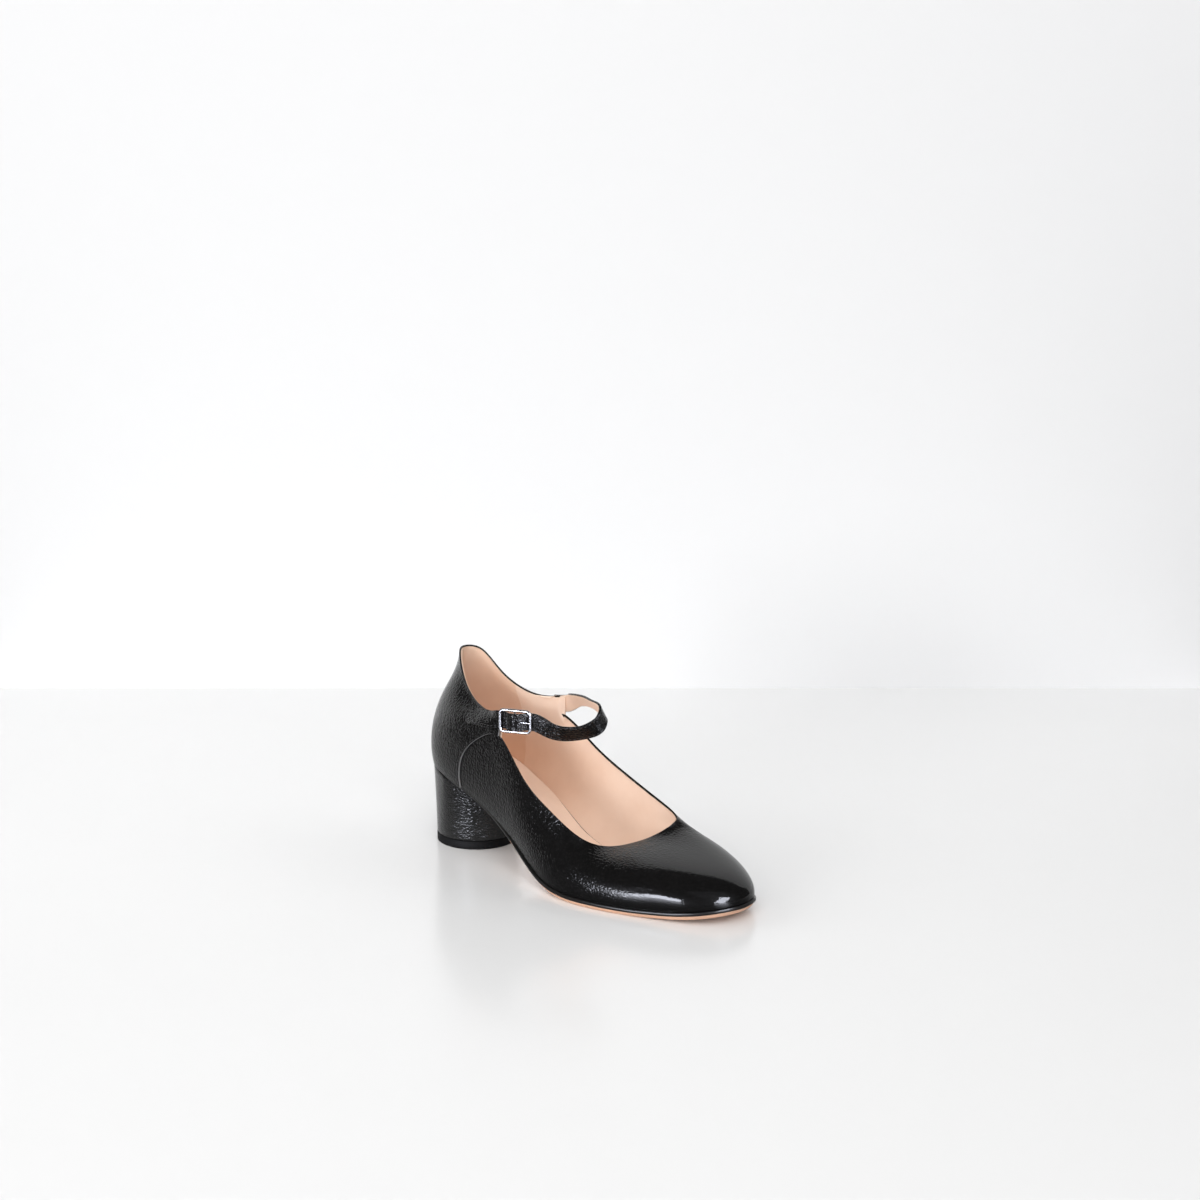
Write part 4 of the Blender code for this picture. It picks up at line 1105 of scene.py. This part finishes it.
def strapStitches():
    cut = strapCuts
    steps, _ = strapKnots()
    at = np.linspace(0.004, steps[-1] - 0.001, 400)
    centres, _, width, out = strapFrames(at)
    for side, name in ((-1, "strap_stitch_low"), (1, "strap_stitch_high")):
        across = side * (cut["width"] / 2 - cut["stitchIn"])
        stitchRow(name, centres + width * across + out * (cut["thickness"] / 2 - 0.00006), out)


def seamStitches():
    # along the quarters' turned edge, from the feather line up each seam
    share, back = np.linspace(0.03, 0.985, 200), stitchCuts["seamIn"]
    lateral, medial = seamPlaces(share)
    for name, places in (("seam_stitch_lateral", lateral - back), ("seam_stitch_medial", medial + back)):
        stitchRow(name, *last.surface(places, share, upperCuts["seamStep"]))


strapStitches()
seamStitches()
print("stitches made")


# ---------- stage, lights, camera ----------

view = {
    "azimuth": 46.5, "pitch": 12.5, "lens": 68.91, "place": (0.9010, -0.8392, 0.4307), "wall": 1.642,
    "floorHalf": 0.46, "floorDeep": 0.95, "sheenHalf": 0.6, "sheenDeep": 1.1, "sheenUnder": 0.0006,
    "wallHalf": 0.9, "wallHigh": 0.80,
}


def layPlane(name, paint, place):
    # one face, its corners laid by place, which takes -1 or 1 across and along
    mesh = bmesh.new()
    bmesh.ops.create_grid(mesh, x_segments=1, y_segments=1, size=1.0)
    for vert in mesh.verts:
        vert.co = place(vert.co.x, vert.co.y)
    return finishMesh(name, mesh, [paint])


def addStage():
    turn = math.radians(view["azimuth"])
    look = Vector((-math.sin(turn), math.cos(turn), 0))
    side = Vector((math.cos(turn), math.sin(turn), 0))
    up = Vector((0, 0, 1))
    far = Vector((view["place"][0], view["place"][1], 0)) + look * view["wall"]

    floor = Finish("white floor")
    grain = floor.noise(floor.objectPlace(), 30, 3, 0.6)
    floorPaint = principled(floor, (0.74, 0.74, 0.74), grain * 0.04 + 0.18, ior=1.6)
    wide, deep = view["floorHalf"], view["floorDeep"] / 2
    ground = layPlane("floor", floorPaint, lambda x, y: far + side * x * wide + look * (y - 1) * deep)
    ground.visible_glossy = ground.visible_shadow = False

    # what the leather mirrors, a copy of the floor with painted light and shade: bright by the shoe, dark
    # further out on the side that the room is dark
    sheen = Finish("mirrored floor with painted shade")
    where = sheen.objectPlace()
    paintedShade = (sheen.axis(where, "X") * 0.6 - sheen.axis(where, "Y")).step(-0.02, 0.05)
    tone = sheen.mixColour(paintedShade, (0.88, 0.88, 0.88), (0.13, 0.13, 0.135))
    sheenPaint = principled(sheen, tone, 0.27, ior=1.6)
    wideSheen, deepSheen = view["sheenHalf"], view["sheenDeep"] / 2
    mirrored = layPlane("mirrored_floor", sheenPaint, lambda x, y: (
        far + side * x * wideSheen + look * (y - 1) * deepSheen - up * view["sheenUnder"]))
    mirrored.visible_camera = mirrored.visible_diffuse = mirrored.visible_shadow = False

    wallPaint = principled(Finish("white wall"), (0.77, 0.77, 0.77), 0.7)
    backdrop = layPlane("backdrop", wallPaint, lambda x, y: (
        far + side * x * view["wallHalf"] + up * ((1 + y) * view["wallHigh"] / 2)))


# panels round the shoe: azimuth from the camera's side of it (0 looks along +Y) and elevation in degrees,
# width and height in metres, radiance, roll in degrees
windows = (
    ("left window", 9.5, 1.5, 1.0, 0.84, 22, 0),
    ("left window edge", -6, 20, 0.12, 0.9, 2, 0),
    ("right window", 81, 16, 0.88, 1.75, 18, -27),
)
shelves = ((1.3, 0.15), (1.05, 0.2), (0.82, 0.35), (0.6, 0.5), (0.4, 0.65), (0.2, 0.9))
fills = (
    ("fill left window", 9.5, 8, 1.0, 0.84, 11, 0),
    ("fill ceiling", 20, 82, 3.0, 3.0, 0.5, 0),
    ("fill front", 45, 35, 2.6, 1.6, 2.8, 0),
    ("fill high front", 45, 62, 2.0, 1.6, 1.6, 0),
    ("fill left", -50, 25, 2.0, 1.6, 3.3, 0),
    ("fill right", 135, 35, 1.6, 1.2, 2.0, 0),
)


def addLight(name, azimuth, elevation, wide, high, glow, roll, mirrored):
    # a mirrored panel is sky blue and shows in the gloss alone, any other is white and lights without showing
    data = bpy.data.lights.new(name, "AREA")
    data.shape = "RECTANGLE"
    data.size, data.size_y = wide, high
    data.energy = glow * math.pi * wide * high
    data.color = (0.95, 0.98, 1.10) if mirrored else (1, 1, 1)
    lamp = bpy.data.objects.new(name, data)
    a, e = math.radians(azimuth), math.radians(elevation)
    direction = Vector((math.sin(a) * math.cos(e), -math.cos(a) * math.cos(e), math.sin(e)))
    lamp.location = Vector((0, 0, 0.04)) + direction * 2.5
    turn = direction.to_track_quat("Z", "Y") @ Euler((0, 0, math.radians(roll))).to_quaternion()
    lamp.rotation_euler = turn.to_euler()
    lamp.visible_glossy, lamp.visible_diffuse = mirrored, not mirrored
    lamp.visible_camera = False
    bpy.context.scene.collection.objects.link(lamp)


def addCamera():
    data = bpy.data.cameras.new("camera")
    data.sensor_width = 36
    data.lens = view["lens"]
    camera = bpy.data.objects.new("camera", data)
    camera.location = view["place"]
    camera.rotation_euler = (math.radians(90 - view["pitch"]), 0, math.radians(view["azimuth"]))
    bpy.context.scene.collection.objects.link(camera)
    bpy.context.scene.camera = camera


addStage()
for row in windows:
    addLight(*row, mirrored=True)
for deep, glow in shelves:
    # nested panels, so that the light falls off softly to its edges
    addLight("high shelf", 70, 52, 1.6 + 0.5 * deep, deep, glow, 0, mirrored=True)
for row in fills:
    addLight(*row, mirrored=False)
addCamera()

world = bpy.data.worlds.new("studio")
world.use_nodes = True
background = world.node_tree.nodes["Background"]
background.inputs["Color"].default_value = (1, 1, 1, 1)
background.inputs["Strength"].default_value = 0.04
bpy.context.scene.world = world
bpy.context.scene.view_settings.view_transform = "Standard"
print("stage, lights and camera made")
